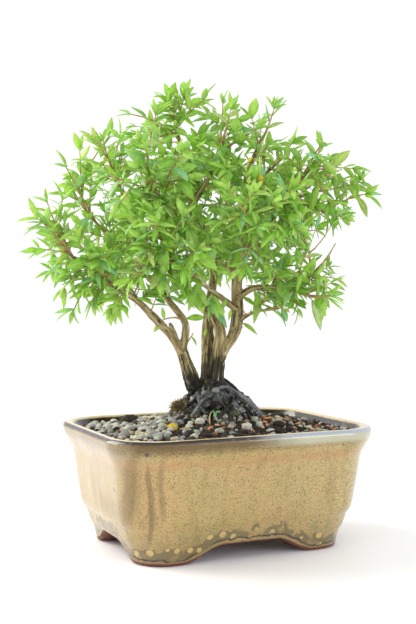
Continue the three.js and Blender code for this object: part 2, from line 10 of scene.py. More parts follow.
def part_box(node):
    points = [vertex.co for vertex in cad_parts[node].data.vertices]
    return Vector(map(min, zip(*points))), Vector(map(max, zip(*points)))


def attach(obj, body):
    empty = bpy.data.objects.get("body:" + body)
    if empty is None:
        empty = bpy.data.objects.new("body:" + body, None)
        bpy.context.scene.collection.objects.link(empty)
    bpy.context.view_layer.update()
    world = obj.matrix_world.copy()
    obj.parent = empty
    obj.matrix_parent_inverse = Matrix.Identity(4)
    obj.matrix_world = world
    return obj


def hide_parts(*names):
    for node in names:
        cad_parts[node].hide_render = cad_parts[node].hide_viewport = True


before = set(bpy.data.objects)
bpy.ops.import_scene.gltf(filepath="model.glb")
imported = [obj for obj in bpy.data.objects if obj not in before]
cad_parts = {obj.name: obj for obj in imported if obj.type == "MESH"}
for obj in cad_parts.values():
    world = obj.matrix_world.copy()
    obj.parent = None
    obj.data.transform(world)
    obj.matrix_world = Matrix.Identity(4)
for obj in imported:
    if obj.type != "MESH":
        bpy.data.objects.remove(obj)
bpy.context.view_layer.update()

# Pot: one piece of cast stoneware with a rolled lip, a wall that tapers to a soft ledge and four
# L-shaped corner feet. An ochre glaze was poured over it: it crackled, ran down in folds and pulled
# away from every sharp edge, and the soles of the feet stayed bare clay. Sizes are in millimetres.
MILLIMETRE = 0.001
POT_LENGTH = 150
POT_WIDTH = 118
CORNER_RADIUS = 26
CORNER_TIGHTENING = 0.55
SMALLEST_CORNER = 4
FOOT_INSET = 16.5
FOOT_WALL = 9.5
LEDGE_HEIGHT = 16
ARCH_HEIGHT = 8.7
FRONT_ARCH = (14, 38)
SIDE_ARCH = (8, 29)
UNDERSIDE = 9.5
FLOOR_TOP = 16.5
DRAIN_RADIUS = 6
DRAIN_OFFSET = 30
CORNER_STEPS = 26
LONG_STEPS = 56
SHORT_STEPS = 40
FOOT_STEPS = 16
WALL_PROFILE = [
    (18.3, -2), (16.7, 1), (15.8, 5), (14.9, 8.4), (13.6, 11), (12.5, 14), (11.3, 18), (9.1, 22.6),
    (7.3, 34), (5.8, 45), (4.8, 50.5), (2.9, 54.5), (0.6, 59.3),
]
LIP_PROFILE = [
    (0.1, 61), (0, 62.6), (0.35, 63.8), (1.1, 64.6), (2.4, 65), (3.8, 65), (5, 64.5), (5.9, 63.4),
]
INSIDE_PROFILE = [(7, 61.5), (8.6, 58), (12.6, 48), (15.8, 27), (19, 18.5), (24, FLOOR_TOP)]
GLAZE_RUNS = [
    {"x": -65, "width": 2.6, "thick": 0.5, "top": 66, "bottom": 14, "slant": -0.05},
    {"x": -57.4, "width": 0.9, "thick": 1, "top": 58, "bottom": 8, "slant": -0.08},
    {"x": -52, "width": 1.9, "thick": 0.32, "top": 68, "bottom": 17, "slant": -0.09},
    {"x": -45, "width": 1.3, "thick": 0.25, "top": 40, "bottom": 16, "slant": -0.02},
    {"x": 40, "width": 2.2, "thick": 0.2, "top": 45, "bottom": 20, "slant": 0.01},
]
RUN_FADE = 16
RUN_WANDER = 1.3
RUN_MIDDLE = 35
RUN_DEPTH = 0.5
UNEVEN_DEPTH = 0.28
UNEVEN_LENGTH = 17
SOLE_EDGE = [(2.2, 0), (1, 0.15), (0.3, 0.5)]
FIRST_WALL_RING = 8
BARE_HEIGHT = 1.5
HOLE_STEPS = 32

pot_low, pot_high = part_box("pot")
POT_MIDDLE = Vector((pot_low.x + pot_high.x, pot_low.y + pot_high.y, 0)) / 2 / MILLIMETRE


def smooth_way(points, steps):
    """Points of a smooth curve through the given ones, with so many steps between two of them."""
    points = [Vector(point) for point in points]
    ends = [2 * points[0] - points[1], *points, 2 * points[-1] - points[-2]]
    way = []
    for i in range(1, len(ends) - 2):
        before, start, end, after = ends[i - 1 : i + 3]
        for step in range(steps):
            t = step / steps
            way.append(
                start + (end - before) * (t / 2)
                + (2 * before - 5 * start + 4 * end - after) * (t * t / 2)
                + (3 * start - before - 3 * end + after) * (t ** 3 / 2)
            )
    return [*way, points[-1]]


def outline_point(index, inset):
    """A point of the pot's rounded rectangle, drawn in by the same distance all round."""
    half_length = POT_LENGTH / 2 - inset
    half_width = POT_WIDTH / 2 - inset
    radius = min(max(CORNER_RADIUS - CORNER_TIGHTENING * inset, SMALLEST_CORNER), half_width - 0.5)
    signs = ((1, 1), (-1, 1), (-1, -1), (1, -1))
    corner = 0
    while index >= CORNER_STEPS + (SHORT_STEPS if corner % 2 else LONG_STEPS):
        index -= CORNER_STEPS + (SHORT_STEPS if corner % 2 else LONG_STEPS)
        corner += 1

    def on_corner(which, share):
        angle = math.pi / 2 * (which + share)
        along_x, along_y = signs[which % 4]
        return Vector((along_x * (half_length - radius) + radius * math.cos(angle),
                       along_y * (half_width - radius) + radius * math.sin(angle), 0))

    if index <= CORNER_STEPS:
        return on_corner(corner, index / CORNER_STEPS)
    side_steps = SHORT_STEPS if corner % 2 else LONG_STEPS
    return on_corner(corner, 1).lerp(on_corner(corner + 1, 0), (index - CORNER_STEPS) / side_steps)


OUTLINE_POINTS = 4 * CORNER_STEPS + 2 * (LONG_STEPS + SHORT_STEPS)


def arch_rise(distance, arch):
    """How far the pot's lower edge is lifted at a distance from the middle of one side."""
    flat, foot = arch
    share = min(max((foot - distance) / (foot - flat), 0), 1)
    return ARCH_HEIGHT * share * share * (3 - 2 * share)


def lower_edge(index):
    """Height of the pot's lower edge: on the ground at the feet and raised between them."""
    point = outline_point(index, FOOT_INSET)
    straight = CORNER_RADIUS - CORNER_TIGHTENING * FOOT_INSET
    on_front = abs(point.y) > POT_WIDTH / 2 - FOOT_INSET - straight - 0.01
    on_side = abs(point.x) > POT_LENGTH / 2 - FOOT_INSET - straight - 0.01
    return max(arch_rise(abs(point.x), FRONT_ARCH) if on_front else 0,
               arch_rise(abs(point.y), SIDE_ARCH) if on_side else 0)


def pot_rings():
    """Every ring of the pot's surface, from under its floor, over the lip, to the inside floor.
    A ring is a list of (inset, height), one for each point of the outline."""
    edges = [lower_edge(i) for i in range(OUTLINE_POINTS)]
    wall = smooth_way(WALL_PROFILE, 6)
    wall_insets = [point.x for point in wall]
    wall_heights = [point.y for point in wall]

    def wall_inset(z):
        return float(np.interp(z, wall_heights, wall_insets))

    back = FOOT_INSET + FOOT_WALL
    rings = [[(back + 1, UNDERSIDE)] * OUTLINE_POINTS, [(back + 0.3, UNDERSIDE - 0.1)] * OUTLINE_POINTS]
    rings.append([(back, min(edge + 2, UNDERSIDE - 0.2)) for edge in edges])
    rings.append([(back - 0.3, min(edge + 0.5, UNDERSIDE - 0.3)) for edge in edges])
    rings.append([(back - 1.2, edge) for edge in edges])
    for inward, rise in SOLE_EDGE:
        rings.append([(wall_inset(edge + 1) + inward, edge + rise) for edge in edges])
    for step in range(FOOT_STEPS):
        share = step / FOOT_STEPS
        heights = [edge + 1 + (LEDGE_HEIGHT - edge - 1) * share for edge in edges]
        rings.append([(wall_inset(z), z) for z in heights])
    above = [(point.x, point.y) for point in wall if point.y >= LEDGE_HEIGHT - 0.01]
    for profile in (LIP_PROFILE, INSIDE_PROFILE):
        above += [(point.x, point.y) for point in smooth_way(profile, 3)]
    rings += [[step] * OUTLINE_POINTS for step in above]
    return rings, edges


def run_height(point, z):
    """How thick the glaze stands, as a share, where it ran down the front and round its left corner."""
    height = 0
    for run in GLAZE_RUNS if point.y < 0 else ():
        fade = min(max(min(z - run["bottom"], run["top"] - z) / RUN_FADE, 0), 1)
        wander = RUN_WANDER * noise.noise(Vector((run["x"], 3, z / UNEVEN_LENGTH)))
        wander += run["slant"] * (z - RUN_MIDDLE)
        away = (point.x - run["x"] - wander) / run["width"]
        height = max(height, fade * run["thick"] * math.exp(-away * away))
    return height


def first_ring(shape):
    """A circle with a vertex for each point of the outline: its vertices in order, and its edges."""
    bmesh.ops.create_circle(shape, segments=OUTLINE_POINTS, radius=1)
    ring = sorted(shape.verts, key=lambda vertex: math.atan2(vertex.co.y, vertex.co.x) % (2 * math.pi))
    return ring, shape.edges[:]


def next_ring(shape, ring, loop):
    """Extrudes a ring, and gives the new one's vertices in the same order, and its edges."""
    made = bmesh.ops.extrude_edge_only(shape, edges=loop)["geom"]
    old = {vertex: number for number, vertex in enumerate(ring)}
    new_ring = [None] * OUTLINE_POINTS
    for vertex in (part for part in made if isinstance(part, bmesh.types.BMVert)):
        others = [edge.other_vert(vertex) for edge in vertex.link_edges]
        below = next(other for other in others if other in old)
        new_ring[old[below]] = vertex
    return new_ring, [part for part in made if isinstance(part, bmesh.types.BMEdge)]


def pot_shape():
    pot = bmesh.new()
    above_edge = pot.verts.layers.float.new("above_edge")
    from_rim = pot.verts.layers.float.new("from_rim")
    run = pot.verts.layers.float.new("run")
    ring, first_loop = first_ring(pot)
    loop = first_loop
    rings, edges = pot_rings()
    rim = max(range(len(rings)), key=lambda k: rings[k][0][1])
    travelled = 0
    for level, places in enumerate(rings):
        if level:
            ring, loop = next_ring(pot, ring, loop)
            travelled += math.dist(places[0], rings[level - 1][0])
        for number, vertex in enumerate(ring):
            inset, z = places[number]
            point = outline_point(number, inset)
            outside = level >= FIRST_WALL_RING and inset < FOOT_INSET + 1 and z > BARE_HEIGHT
            vertex[run] = run_height(point, z) if outside else 0
            lump = noise.noise(Vector((point.x, point.y, z)) / UNEVEN_LENGTH)
            uneven = UNEVEN_DEPTH * lump + RUN_DEPTH * vertex[run]
            vertex.co = outline_point(number, inset - uneven if outside else inset)
            vertex.co.z = z
            vertex[above_edge] = z - edges[number]
            vertex[from_rim] = travelled
        if level == rim:
            rim_travelled = travelled
    for vertex in pot.verts:
        vertex[from_rim] -= rim_travelled
    holes = []
    for face_loop, height in ((first_loop, UNDERSIDE), (loop, FLOOR_TOP)):
        for side in (-1, 1):
            hole = bmesh.ops.create_circle(pot, segments=HOLE_STEPS, radius=DRAIN_RADIUS,
                                           matrix=Matrix.Translation((side * DRAIN_OFFSET, 0, height)))
            holes.append(list({edge for vertex in hole["verts"] for edge in vertex.link_edges}))
        bmesh.ops.triangle_fill(pot, use_beauty=True, edges=[*face_loop, *holes[-2], *holes[-1]])
    for lower, upper in zip(holes[:2], holes[2:]):
        bmesh.ops.bridge_loops(pot, edges=[*lower, *upper])
    bmesh.ops.recalc_face_normals(pot, faces=pot.faces)
    return pot


def linear(colour):
    """A hex colour as the linear one that the shaders take."""
    shares = [int(colour[i : i + 2], 16) / 255 for i in (1, 3, 5)]
    return tuple(s / 12.92 if s <= 0.04045 else ((s + 0.055) / 1.055) ** 2.4 for s in shares) + (1,)


NODE_MODES = {"Math": "operation", "VectorMath": "operation", "TexVoronoi": "feature",
              "MapRange": "interpolation_type", "Mix": "data_type"}
USUAL_MODES = {"MapRange": "SMOOTHSTEP", "Mix": "RGBA"}


def add_node(look, kind, *values, named=None, out=None, stops=None, **settings):
    """Adds a shader node with its settings and links, and gives its first output or the one named.
    Its mode may follow a dot in its kind. The values fill its inputs in order, and the named ones by
    name. Each is a number, a vector, a hex colour or the output that feeds the input. Stops are the
    places and colours of a ramp, from low to high."""
    kind, _, mode = kind.partition(".")
    made = look.node_tree.nodes.new("ShaderNode" + kind)
    mode = mode or USUAL_MODES.get(kind)
    if mode:
        settings[NODE_MODES[kind]] = mode
    for name, value in settings.items():
        setattr(made, name, value)
    if stops:
        ramp = made.color_ramp.elements
        ramp.remove(ramp[1])
        for number, (place, colour) in enumerate(stops):
            stop = ramp.new(place) if number else ramp[0]
            stop.position = place
            stop.color = linear(colour)
    inputs = list(zip([socket for socket in made.inputs if socket.enabled], values))
    inputs += [(made.inputs[name], value) for name, value in (named or {}).items()]
    for socket, value in inputs:
        if isinstance(value, bpy.types.NodeSocket):
            look.node_tree.links.new(value, socket)
        else:
            socket.default_value = linear(value) if isinstance(value, str) else value
    return made.outputs[out] if out else next((socket for socket in made.outputs if socket.enabled), None)


def new_look(name):
    """An empty material, the function that adds its nodes, and its coordinates in millimetres."""
    look = bpy.data.materials.new(name)
    look.use_nodes = True
    look.node_tree.nodes.clear()
    node = functools.partial(add_node, look)
    return look, node, node("VectorMath.SCALE", node("TexCoord", out="Object"), 1 / MILLIMETRE)


def as_mesh(shape, name):
    """A finished shape as a mesh. The shape itself is given up."""
    mesh = bpy.data.meshes.new(name)
    shape.to_mesh(mesh)
    shape.free()
    return mesh


def new_object(name, data):
    made = bpy.data.objects.new(name, data)
    bpy.context.scene.collection.objects.link(made)
    return made


def place(shape, name, look, slot, node=None):
    """Sets a shape, made in millimetres round the pot's middle, in the frame as a piece of its own."""
    bmesh.ops.translate(shape, vec=POT_MIDDLE, verts=shape.verts)
    bmesh.ops.scale(shape, vec=(MILLIMETRE,) * 3, verts=shape.verts)
    mesh = as_mesh(shape, name)
    mesh.shade_smooth()
    mesh.materials.append(look)
    piece = new_object(name, mesh)
    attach(piece, "root")
    if node:
        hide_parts(node)


# Ochre crackle glaze on stoneware: glossy and paler on the left side, with an olive net of cracks about
# 1.3 mm apart. It is purple-brown where it is thin on the lip's edge and olive in the band under it.
IRON_SPOTS = [(-61.3, -54.9, 59), (-70.4, -37, 56), (-68.3, -28, 38.2)]


def glaze_look():
    look, node, mm = new_look("ochre crackle glaze on stoneware")
    on_pot = node("VectorMath.SUBTRACT", mm, POT_MIDDLE)
    right, back, height = node("SeparateXYZ", on_pot).node.outputs
    edge = node("Attribute", attribute_name="above_edge", out="Fac")
    rim = node("Attribute", attribute_name="from_rim", out="Fac")
    run = node("Attribute", attribute_name="run", out="Fac")

    # The body of the glaze is paler at the left corner, and streaks ran down it.
    uneven = node("TexNoise", mm, 0.18, 3)
    colour = node("ValToRGB", node("TexNoise", mm, 0.035, 3), stops=[
        (0.3, "#A8945C"), (0.5, "#B69A60"), (0.7, "#BE9A62")])
    pale = node("MapRange", node("Math.MULTIPLY_ADD", uneven, 8, right), -58, -69)
    less_on_pale = node("MapRange", pale, 0, 1, 1, 0.25)
    drawn_down = node("Mapping", mm, named={"Scale": (0.16, 0.16, 0.014)})
    streaks = node("TexNoise", drawn_down, 1, 4, named={"Distortion": 0.3})
    dark_streaks = node("MapRange", streaks, 0.52, 0.66, 0, 0.4)

    # The net of cracks, a little drawn out upwards, and the cells between them.
    waver = node("TexNoise", mm, 0.5, 2, out="Color")
    wavering = node("VectorMath.MULTIPLY_ADD", waver, (1.3, 1.3, 1.3), mm)
    net_place = node("Mapping", wavering, named={"Scale": (1.05, 1.05, 0.62)})
    cracks = node("MapRange", node("TexVoronoi.DISTANCE_TO_EDGE", net_place, 1), 0.13, 0.01)
    faint = node("MapRange", node("TexNoise", mm, 0.7, 2), 0.3, 0.6, 0.25, 0.85)
    crack_lines = node("Math.MULTIPLY", cracks, node("Math.MULTIPLY", faint, less_on_pale))
    cells = node("SeparateXYZ", node("TexVoronoi", net_place, 1, out="Color"))

    # The olive band under the lip, fainter on the right, and a pink line below it.
    under_band = node("Math.MULTIPLY", node("MapRange", height, 49, 52), node("MapRange", height, 56, 53))
    band_height = node("Math.MULTIPLY_ADD", uneven, 3, height)
    band = node("MapRange", band_height, 57.6, 63.4)
    band = node("Math.MULTIPLY", band, node("MapRange", pale, 0, 1, 1, 0.4))
    to_right = node("Math.MULTIPLY_ADD", uneven, 14, right)
    less_at_right = node("MapRange", node("MapRange", to_right, 8, 44), 0, 1, 1, 0.3)

    # Drops along the foot, where the glaze pulled back, with a dark seam under them.
    drops = node("TexVoronoi", mm, 0.16)
    drop_edge = node("Math.MULTIPLY_ADD", drops, 7, node("Math.MULTIPLY_ADD", uneven, -9, edge))
    low_strip = node("Math.MULTIPLY", node("MapRange", drop_edge, 8, 6.6), node("MapRange", edge, 1.6, 3.4))
    dripping = node("Math.MULTIPLY", low_strip, node("MapRange", node("TexNoise", mm, 0.09, 2), 0.3, 0.42))
    off_seam = node("Math.SUBTRACT", node("Math.MULTIPLY_ADD", uneven, -5, edge), 0.6)
    seam = node("MapRange", node("Math.ABSOLUTE", off_seam), 0.6, 0.2)
    broken = node("MapRange", node("TexNoise", mm, 0.05, 1), 0.3, 0.4)
    ledge = node("Math.MULTIPLY", node("MapRange", height, 10, 13), node("MapRange", height, 19, 16))

    layers = [
        (node("MapRange", right, -5, 70, 0, 0.5), "#C9B684"),
        (pale, "#9C8B6A"),
        (dark_streaks, "#8F7645"),
        (node("MapRange", streaks, 0.46, 0.34, 0, 0.25), "#BDA26C"),
        (node("MapRange", run, 0.04, 0.4, 0, 0.8), "#7E6136"),
        (node("MapRange", run, 0.7, 0.9, 0, 0.5), "#5E4628"),
        (node("Math.MULTIPLY", cells, 0.16), "#BBA066"),
        (crack_lines, "#62602F"),
        (node("Math.MULTIPLY", under_band, node("MapRange", uneven, 0.4, 0.6, 0.15, 0.55)), "#B98558"),
        (node("Math.MULTIPLY", band, less_at_right), "#664D0C"),
        (node("Math.MULTIPLY", cracks, node("MapRange", band_height, 58, 60, 0, 0.6)), "#3F3414"),
        # Darker olive towards the foot: partly the glaze's own colour, partly painted shade.
        (node("MapRange", node("Math.MULTIPLY_ADD", uneven, 8, height), 24, 8, 0, 0.42), "#7A6634"),
        (node("Math.MULTIPLY", dripping, node("MapRange", drops, 0.2, 0.3, 0, 0.85)), "#6B603F"),
        (node("Math.MULTIPLY", dripping, node("MapRange", drops, 0.34, 0.28)), "#C0A468"),
        (node("Math.MULTIPLY", seam, broken), "#35242B"),
        (node("Math.MULTIPLY", ledge, node("MapRange", uneven, 0.45, 0.6, 0, 0.4)), "#75704C"),
    ]
    warped = node("VectorMath.MULTIPLY_ADD", waver, (1.2, 1.2, 2), on_pot)
    for spot in IRON_SPOTS:
        away = node("VectorMath.DISTANCE", warped, Vector(spot) + Vector((0.6, 0.6, 1)))
        layers.append((node("MapRange", away, 1.5, 0.7), "#4E3233"))

    # The lip's dark edge with painted bluish glints on it, and at the front right a painted pale
    # reflection over the edge and the strip under it; the brown inside and the bare clay of the soles.
    rim_waver = node("Math.MULTIPLY_ADD", uneven, 1.4, rim)
    rim_end = node("MapRange", rim_waver, -0.7, -1.1)
    rim_line = node("Math.MULTIPLY", node("MapRange", rim_waver, -3.3, -2.7), rim_end)
    painted_reflection_strip = node("Math.MULTIPLY", node("MapRange", rim_waver, -9, -6), rim_end)
    at_front = node("MapRange", back, -40, -50)
    front_right = node("Math.MULTIPLY", node("MapRange", to_right, -4, 34), at_front)
    painted_blue_glints = node("MapRange", node("TexNoise", mm, 0.3, 4), 0.56, 0.66, 0, 0.3)
    inside = node("MapRange", node("Math.MULTIPLY_ADD", uneven, 1.2, rim), 2.6, 3.4)
    inside_patches = node("MapRange", node("TexNoise", mm, 0.12, 4), 0.52, 0.68)
    sole_edge = node("Math.MULTIPLY_ADD", uneven, -0.8, edge)
    sole_edge = node("Math.MULTIPLY_ADD", node("MapRange", height, 2, 6), 0.8, sole_edge)
    sole = node("MapRange", sole_edge, 1.6, 1.3)
    layers += [
        (node("MapRange", rim, -2, -1.5), "#DCC69A"),
        (rim_line, "#2E1D24"),
        # Painted highlights on the dark edge, and a painted pale reflection on the lip at the front right.
        (node("Math.MULTIPLY", rim_line, painted_blue_glints), "#6E7692"),
        (node("Math.MULTIPLY", painted_reflection_strip, front_right), "#B0AE94"),
        (node("Math.MULTIPLY", rim_line, front_right), "#9FAABA"),
        (inside, node("Mix", inside_patches, "#2C2028", "#4E4A36")),
        (sole, node("ValToRGB", node("TexNoise", mm, 1.2, 4), stops=[(0.3, "#4E2419"), (0.7, "#7E3F2C")])),
    ]
    for share, paint in layers:
        colour = node("Mix", share, colour, paint)

    relief = node("Math.MULTIPLY_ADD", crack_lines, -0.08, node("TexNoise", mm, 0.25, 3))
    relief = node("Math.MULTIPLY_ADD", dark_streaks, -0.12, relief)
    bump = node("Bump", named={"Height": relief, "Strength": 0.5, "Distance": 0.4 * MILLIMETRE})
    shader = node("BsdfPrincipled", named={
        "Base Color": colour, "Roughness": node("MapRange", sole, 0, 1, 0.16, 0.8), "Normal": bump,
        "Coat Weight": 0.4, "Coat Roughness": 0.08})
    node("OutputMaterial", shader)
    return look


place(pot_shape(), "stoneware_pot", glaze_look(), "glaze", "pot")

# Drain screens: two squares of black plastic net over the drain holes, under the soil. The solids
# have their shape, so they only get their finish.
screen_look, node, mm = new_look("black moulded polypropylene net")
screen_grain = node("TexNoise", mm, 2.5, 3)
screen_colour = node("ValToRGB", screen_grain, stops=[(0.3, "#1D2023"), (0.7, "#2E3236")])
screen_bump = node("Bump", named={"Height": screen_grain, "Strength": 0.3, "Distance": 0.1 * MILLIMETRE})
node("OutputMaterial", node("BsdfPrincipled", named={
    "Base Color": screen_colour, "Roughness": 0.55, "Normal": screen_bump}))
for screen in ("drain_screen_left", "drain_screen_right"):
    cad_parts[screen].data.materials.clear()
    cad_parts[screen].data.materials.append(screen_look)

# Soil bed: dark peaty compost, pressed into the pot by hand. It fills the pot to a finger below its lip
# and rises to the roots in the middle. Its sides follow the inside of the pot with a hair's gap.
SOIL_AT_WALL = 61
SOIL_RISE = 9
SOIL_RISE_RADIUS = 42
SOIL_GAP = 0.3
BED_SHOULDER = 0.9
BED_MIDDLE = 0.6
BED_RINGS = 34
CRUMB_SIZE = 3.2
CRUMB_HEIGHT = 0.95


def soil_height(x, y):
    distance = math.hypot(x, y) / SOIL_RISE_RADIUS
    return SOIL_AT_WALL + SOIL_RISE * math.exp(-(distance ** 2.5))


def soil_shape():
    bed = bmesh.new()
    ring, first_loop = first_ring(bed)
    loop = first_loop
    levels = [(inset + SOIL_GAP, z + SOIL_GAP) for inset, z in reversed(INSIDE_PROFILE[1:])]
    top_inset = levels[-1][0] - BED_SHOULDER
    top_width = POT_WIDTH / 2 - top_inset - BED_MIDDLE
    levels += [(top_inset + top_width * k / BED_RINGS, None) for k in range(BED_RINGS + 1)]
    for level, (inset, z) in enumerate(levels):
        if level:
            ring, loop = next_ring(bed, ring, loop)
        for number, vertex in enumerate(ring):
            x, y, _ = outline_point(number, inset)
            crumbs = noise.fractal(Vector((x, y, 7)) / CRUMB_SIZE, 0.8, 2.2, 3)
            vertex.co = (x, y, soil_height(x, y) + CRUMB_HEIGHT * crumbs if z is None else z)
    bmesh.ops.holes_fill(bed, edges=[*first_loop, *loop])
    bmesh.ops.recalc_face_normals(bed, faces=bed.faces)
    return bed


# Compost: peat and bark dust, nearly black where it is damp, with crumbs a millimetre or two across.
def compost_look():
    look, node, mm = new_look("damp peat compost")
    crumb = node("TexNoise", mm, 0.9, 6, 0.7)
    flecks = node("SeparateXYZ", node("TexVoronoi", mm, 0.7, out="Color"))
    colour = node("ValToRGB", node("Math.MULTIPLY", crumb, flecks), stops=[
        (0.08, "#14110F"), (0.25, "#2E2620"), (0.42, "#55453A"), (0.62, "#A08468")])
    bump = node("Bump", named={"Height": crumb, "Strength": 0.9, "Distance": 0.8 * MILLIMETRE})
    node("OutputMaterial", node("BsdfPrincipled", named={
        "Base Color": colour, "Roughness": 0.92, "Normal": bump, "Specular IOR Level": 0.25}))
    return look


place(soil_shape(), "compost_bed", compost_look(), "soil", "soil")

# Grit on the soil: pale pumice granules, mixed pebbles, red lava chips and bark bits that were worked
# into the compost, each one half sunk in it. A field is half its length and width, round the middle.
GRIT_SEED = 77
FULL_TURN = 6.283
STONE_CHAMFER = 0.28
STONE_PITS = 0.22
STONE_PIT_SIZE = 1.4
STONE_LIFT = 0.1
GRIT_FIELD = (67, 51)
GRIT_MARGIN = 9.5
MOUND_REACH = 24
PUMICE_HEAP = {"centre": (-45, 6), "spread": (24, 38)}


class Chance:
    """Numbers that look random and come in the same order on each run."""

    def __init__(self, seed):
        self.state = seed

    def between(self, low, high):
        self.state = self.state * 16807 % 2147483647
        return low + (high - low) * self.state / 2147483647


def stone_shape():
    """A stone of 26 faces: a cube with its edges and corners cut."""
    stone = bmesh.new()
    bmesh.ops.create_cube(stone, size=1)
    bmesh.ops.bevel(stone, geom=stone.edges[:], offset=STONE_CHAMFER, segments=1, profile=0.5,
                    affect="EDGES", material=-1)
    return as_mesh(stone, "stone")


def new_bits():
    """An empty shape for many stones or straws, with a layer that tells each one's colour."""
    bits = bmesh.new()
    bits.verts.layers.float.new("tint")
    return bits


def add_shape(whole, part, matrix=Matrix.Identity(4), **values):
    """Adds a copy of a small mesh to a growing one, with its own value in each named layer."""
    before = len(whole.verts)
    whole.from_mesh(part)
    whole.verts.ensure_lookup_table()
    added = whole.verts[before:]
    bmesh.ops.transform(whole, matrix=matrix, verts=added)
    for name, value in values.items():
        layer = whole.verts.layers.float[name]
        for vertex in added:
            vertex[layer] = value


def stone_matrix(x, y, size, chance, flat):
    """Where a stone lies, and its size and turn. It is sunk in the soil by a part of its height."""
    shape = Matrix.Diagonal((size * chance.between(0.8, 1.25), size * chance.between(0.75, 1.1),
                             size * flat * chance.between(0.55, 0.95), 1))
    turn = Matrix.Rotation(chance.between(0, FULL_TURN), 4, "Z")
    tilt = Matrix.Rotation(chance.between(-0.5, 0.5), 4, "X")
    tilt @= Matrix.Rotation(chance.between(-0.5, 0.5), 4, "Y")
    return Matrix.Translation((x, y, soil_height(x, y) + STONE_LIFT * size * flat)) @ tilt @ turn @ shape


def inside_pot(x, y, margin):
    """True where a point is over the soil, so far in from the pot's rim."""
    half_length = POT_LENGTH / 2 - margin
    half_width = POT_WIDTH / 2 - margin
    radius = CORNER_RADIUS - CORNER_TIGHTENING * margin
    over_x = max(abs(x) - (half_length - radius), 0)
    over_y = max(abs(y) - (half_width - radius), 0)
    return math.hypot(over_x, over_y) < radius


def grit_shape(count, small, large, chance, centre=None, spread=None, flat=1.0):
    """Stones scattered over the soil, or thickly round a centre, clear of the root mound."""
    grit = new_bits()
    stone = stone_shape()
    placed = 0
    while placed < count:
        if centre:
            angle = chance.between(0, FULL_TURN)
            reach = math.sqrt(chance.between(0, 1))
            x = centre[0] + spread[0] * reach * math.cos(angle)
            y = centre[1] + spread[1] * reach * math.sin(angle)
        else:
            x, y = [chance.between(-half, half) for half in GRIT_FIELD]
        if not inside_pot(x, y, GRIT_MARGIN) or math.hypot(x, y) < MOUND_REACH:
            continue
        size = small + (large - small) * chance.between(0, 1) ** 1.6
        add_shape(grit, stone, stone_matrix(x, y, size, chance, flat), tint=chance.between(0, 1))
        placed += 1
    for vertex in grit.verts:
        vertex.co += vertex.normal * STONE_PITS * noise.noise(vertex.co / STONE_PIT_SIZE)
    return grit


# Mixed grit: each stone has its own colour from a row of them, with fine pits in its surface.
def grit_look(name, colours, rough):
    look, node, mm = new_look(name)
    stops = [(number / len(colours), colour) for number, colour in enumerate(colours)]
    row = node("ValToRGB", node("Attribute", attribute_name="tint", out="Fac"), stops=stops)
    row.node.color_ramp.interpolation = "CONSTANT"
    pits = node("TexNoise", mm, 1.6, 5, 0.65)
    colour = node("VectorMath.SCALE", row, node("MapRange.LINEAR", pits, 0.3, 0.65, 0.55, 1.1))
    bump = node("Bump", named={"Height": pits, "Strength": 0.7, "Distance": 0.4 * MILLIMETRE})
    node("OutputMaterial", node("BsdfPrincipled", named={
        "Base Color": colour, "Roughness": rough, "Normal": bump}))
    return look


grit_chance = Chance(GRIT_SEED)
pumice = grit_look("pumice granules", ["#A9AAA6", "#C6C6C0", "#8E918E", "#D2D0C2", "#B0B39E"], 0.85)
mixed_grit = grit_look("mixed river grit", [
    "#2F2B28", "#7A5C44", "#46403A", "#ADAA9A", "#2A2724", "#DAD6BC", "#664C38", "#BDB498"], 0.7)
peat = grit_look("peat lumps", ["#221E1A", "#3A3028", "#191716", "#4C4034", "#2A2521"], 0.95)
lava = grit_look("red lava and fired clay chips", ["#CC8460", "#E0A484", "#B46C4A", "#EABE9C"], 0.8)
place(grit_shape(150, 2.8, 4.7, grit_chance, **PUMICE_HEAP), "pumice_on_the_left", pumice, "soil")
place(grit_shape(140, 1.8, 4.2, grit_chance), "pumice_granules", pumice, "soil")
place(grit_shape(430, 0.9, 3.4, grit_chance), "river_grit", mixed_grit, "soil")
place(grit_shape(300, 1.4, 4.4, grit_chance), "peat_lumps", peat, "soil")
place(grit_shape(340, 1, 2.8, grit_chance, flat=0.7), "lava_chips", lava, "soil")

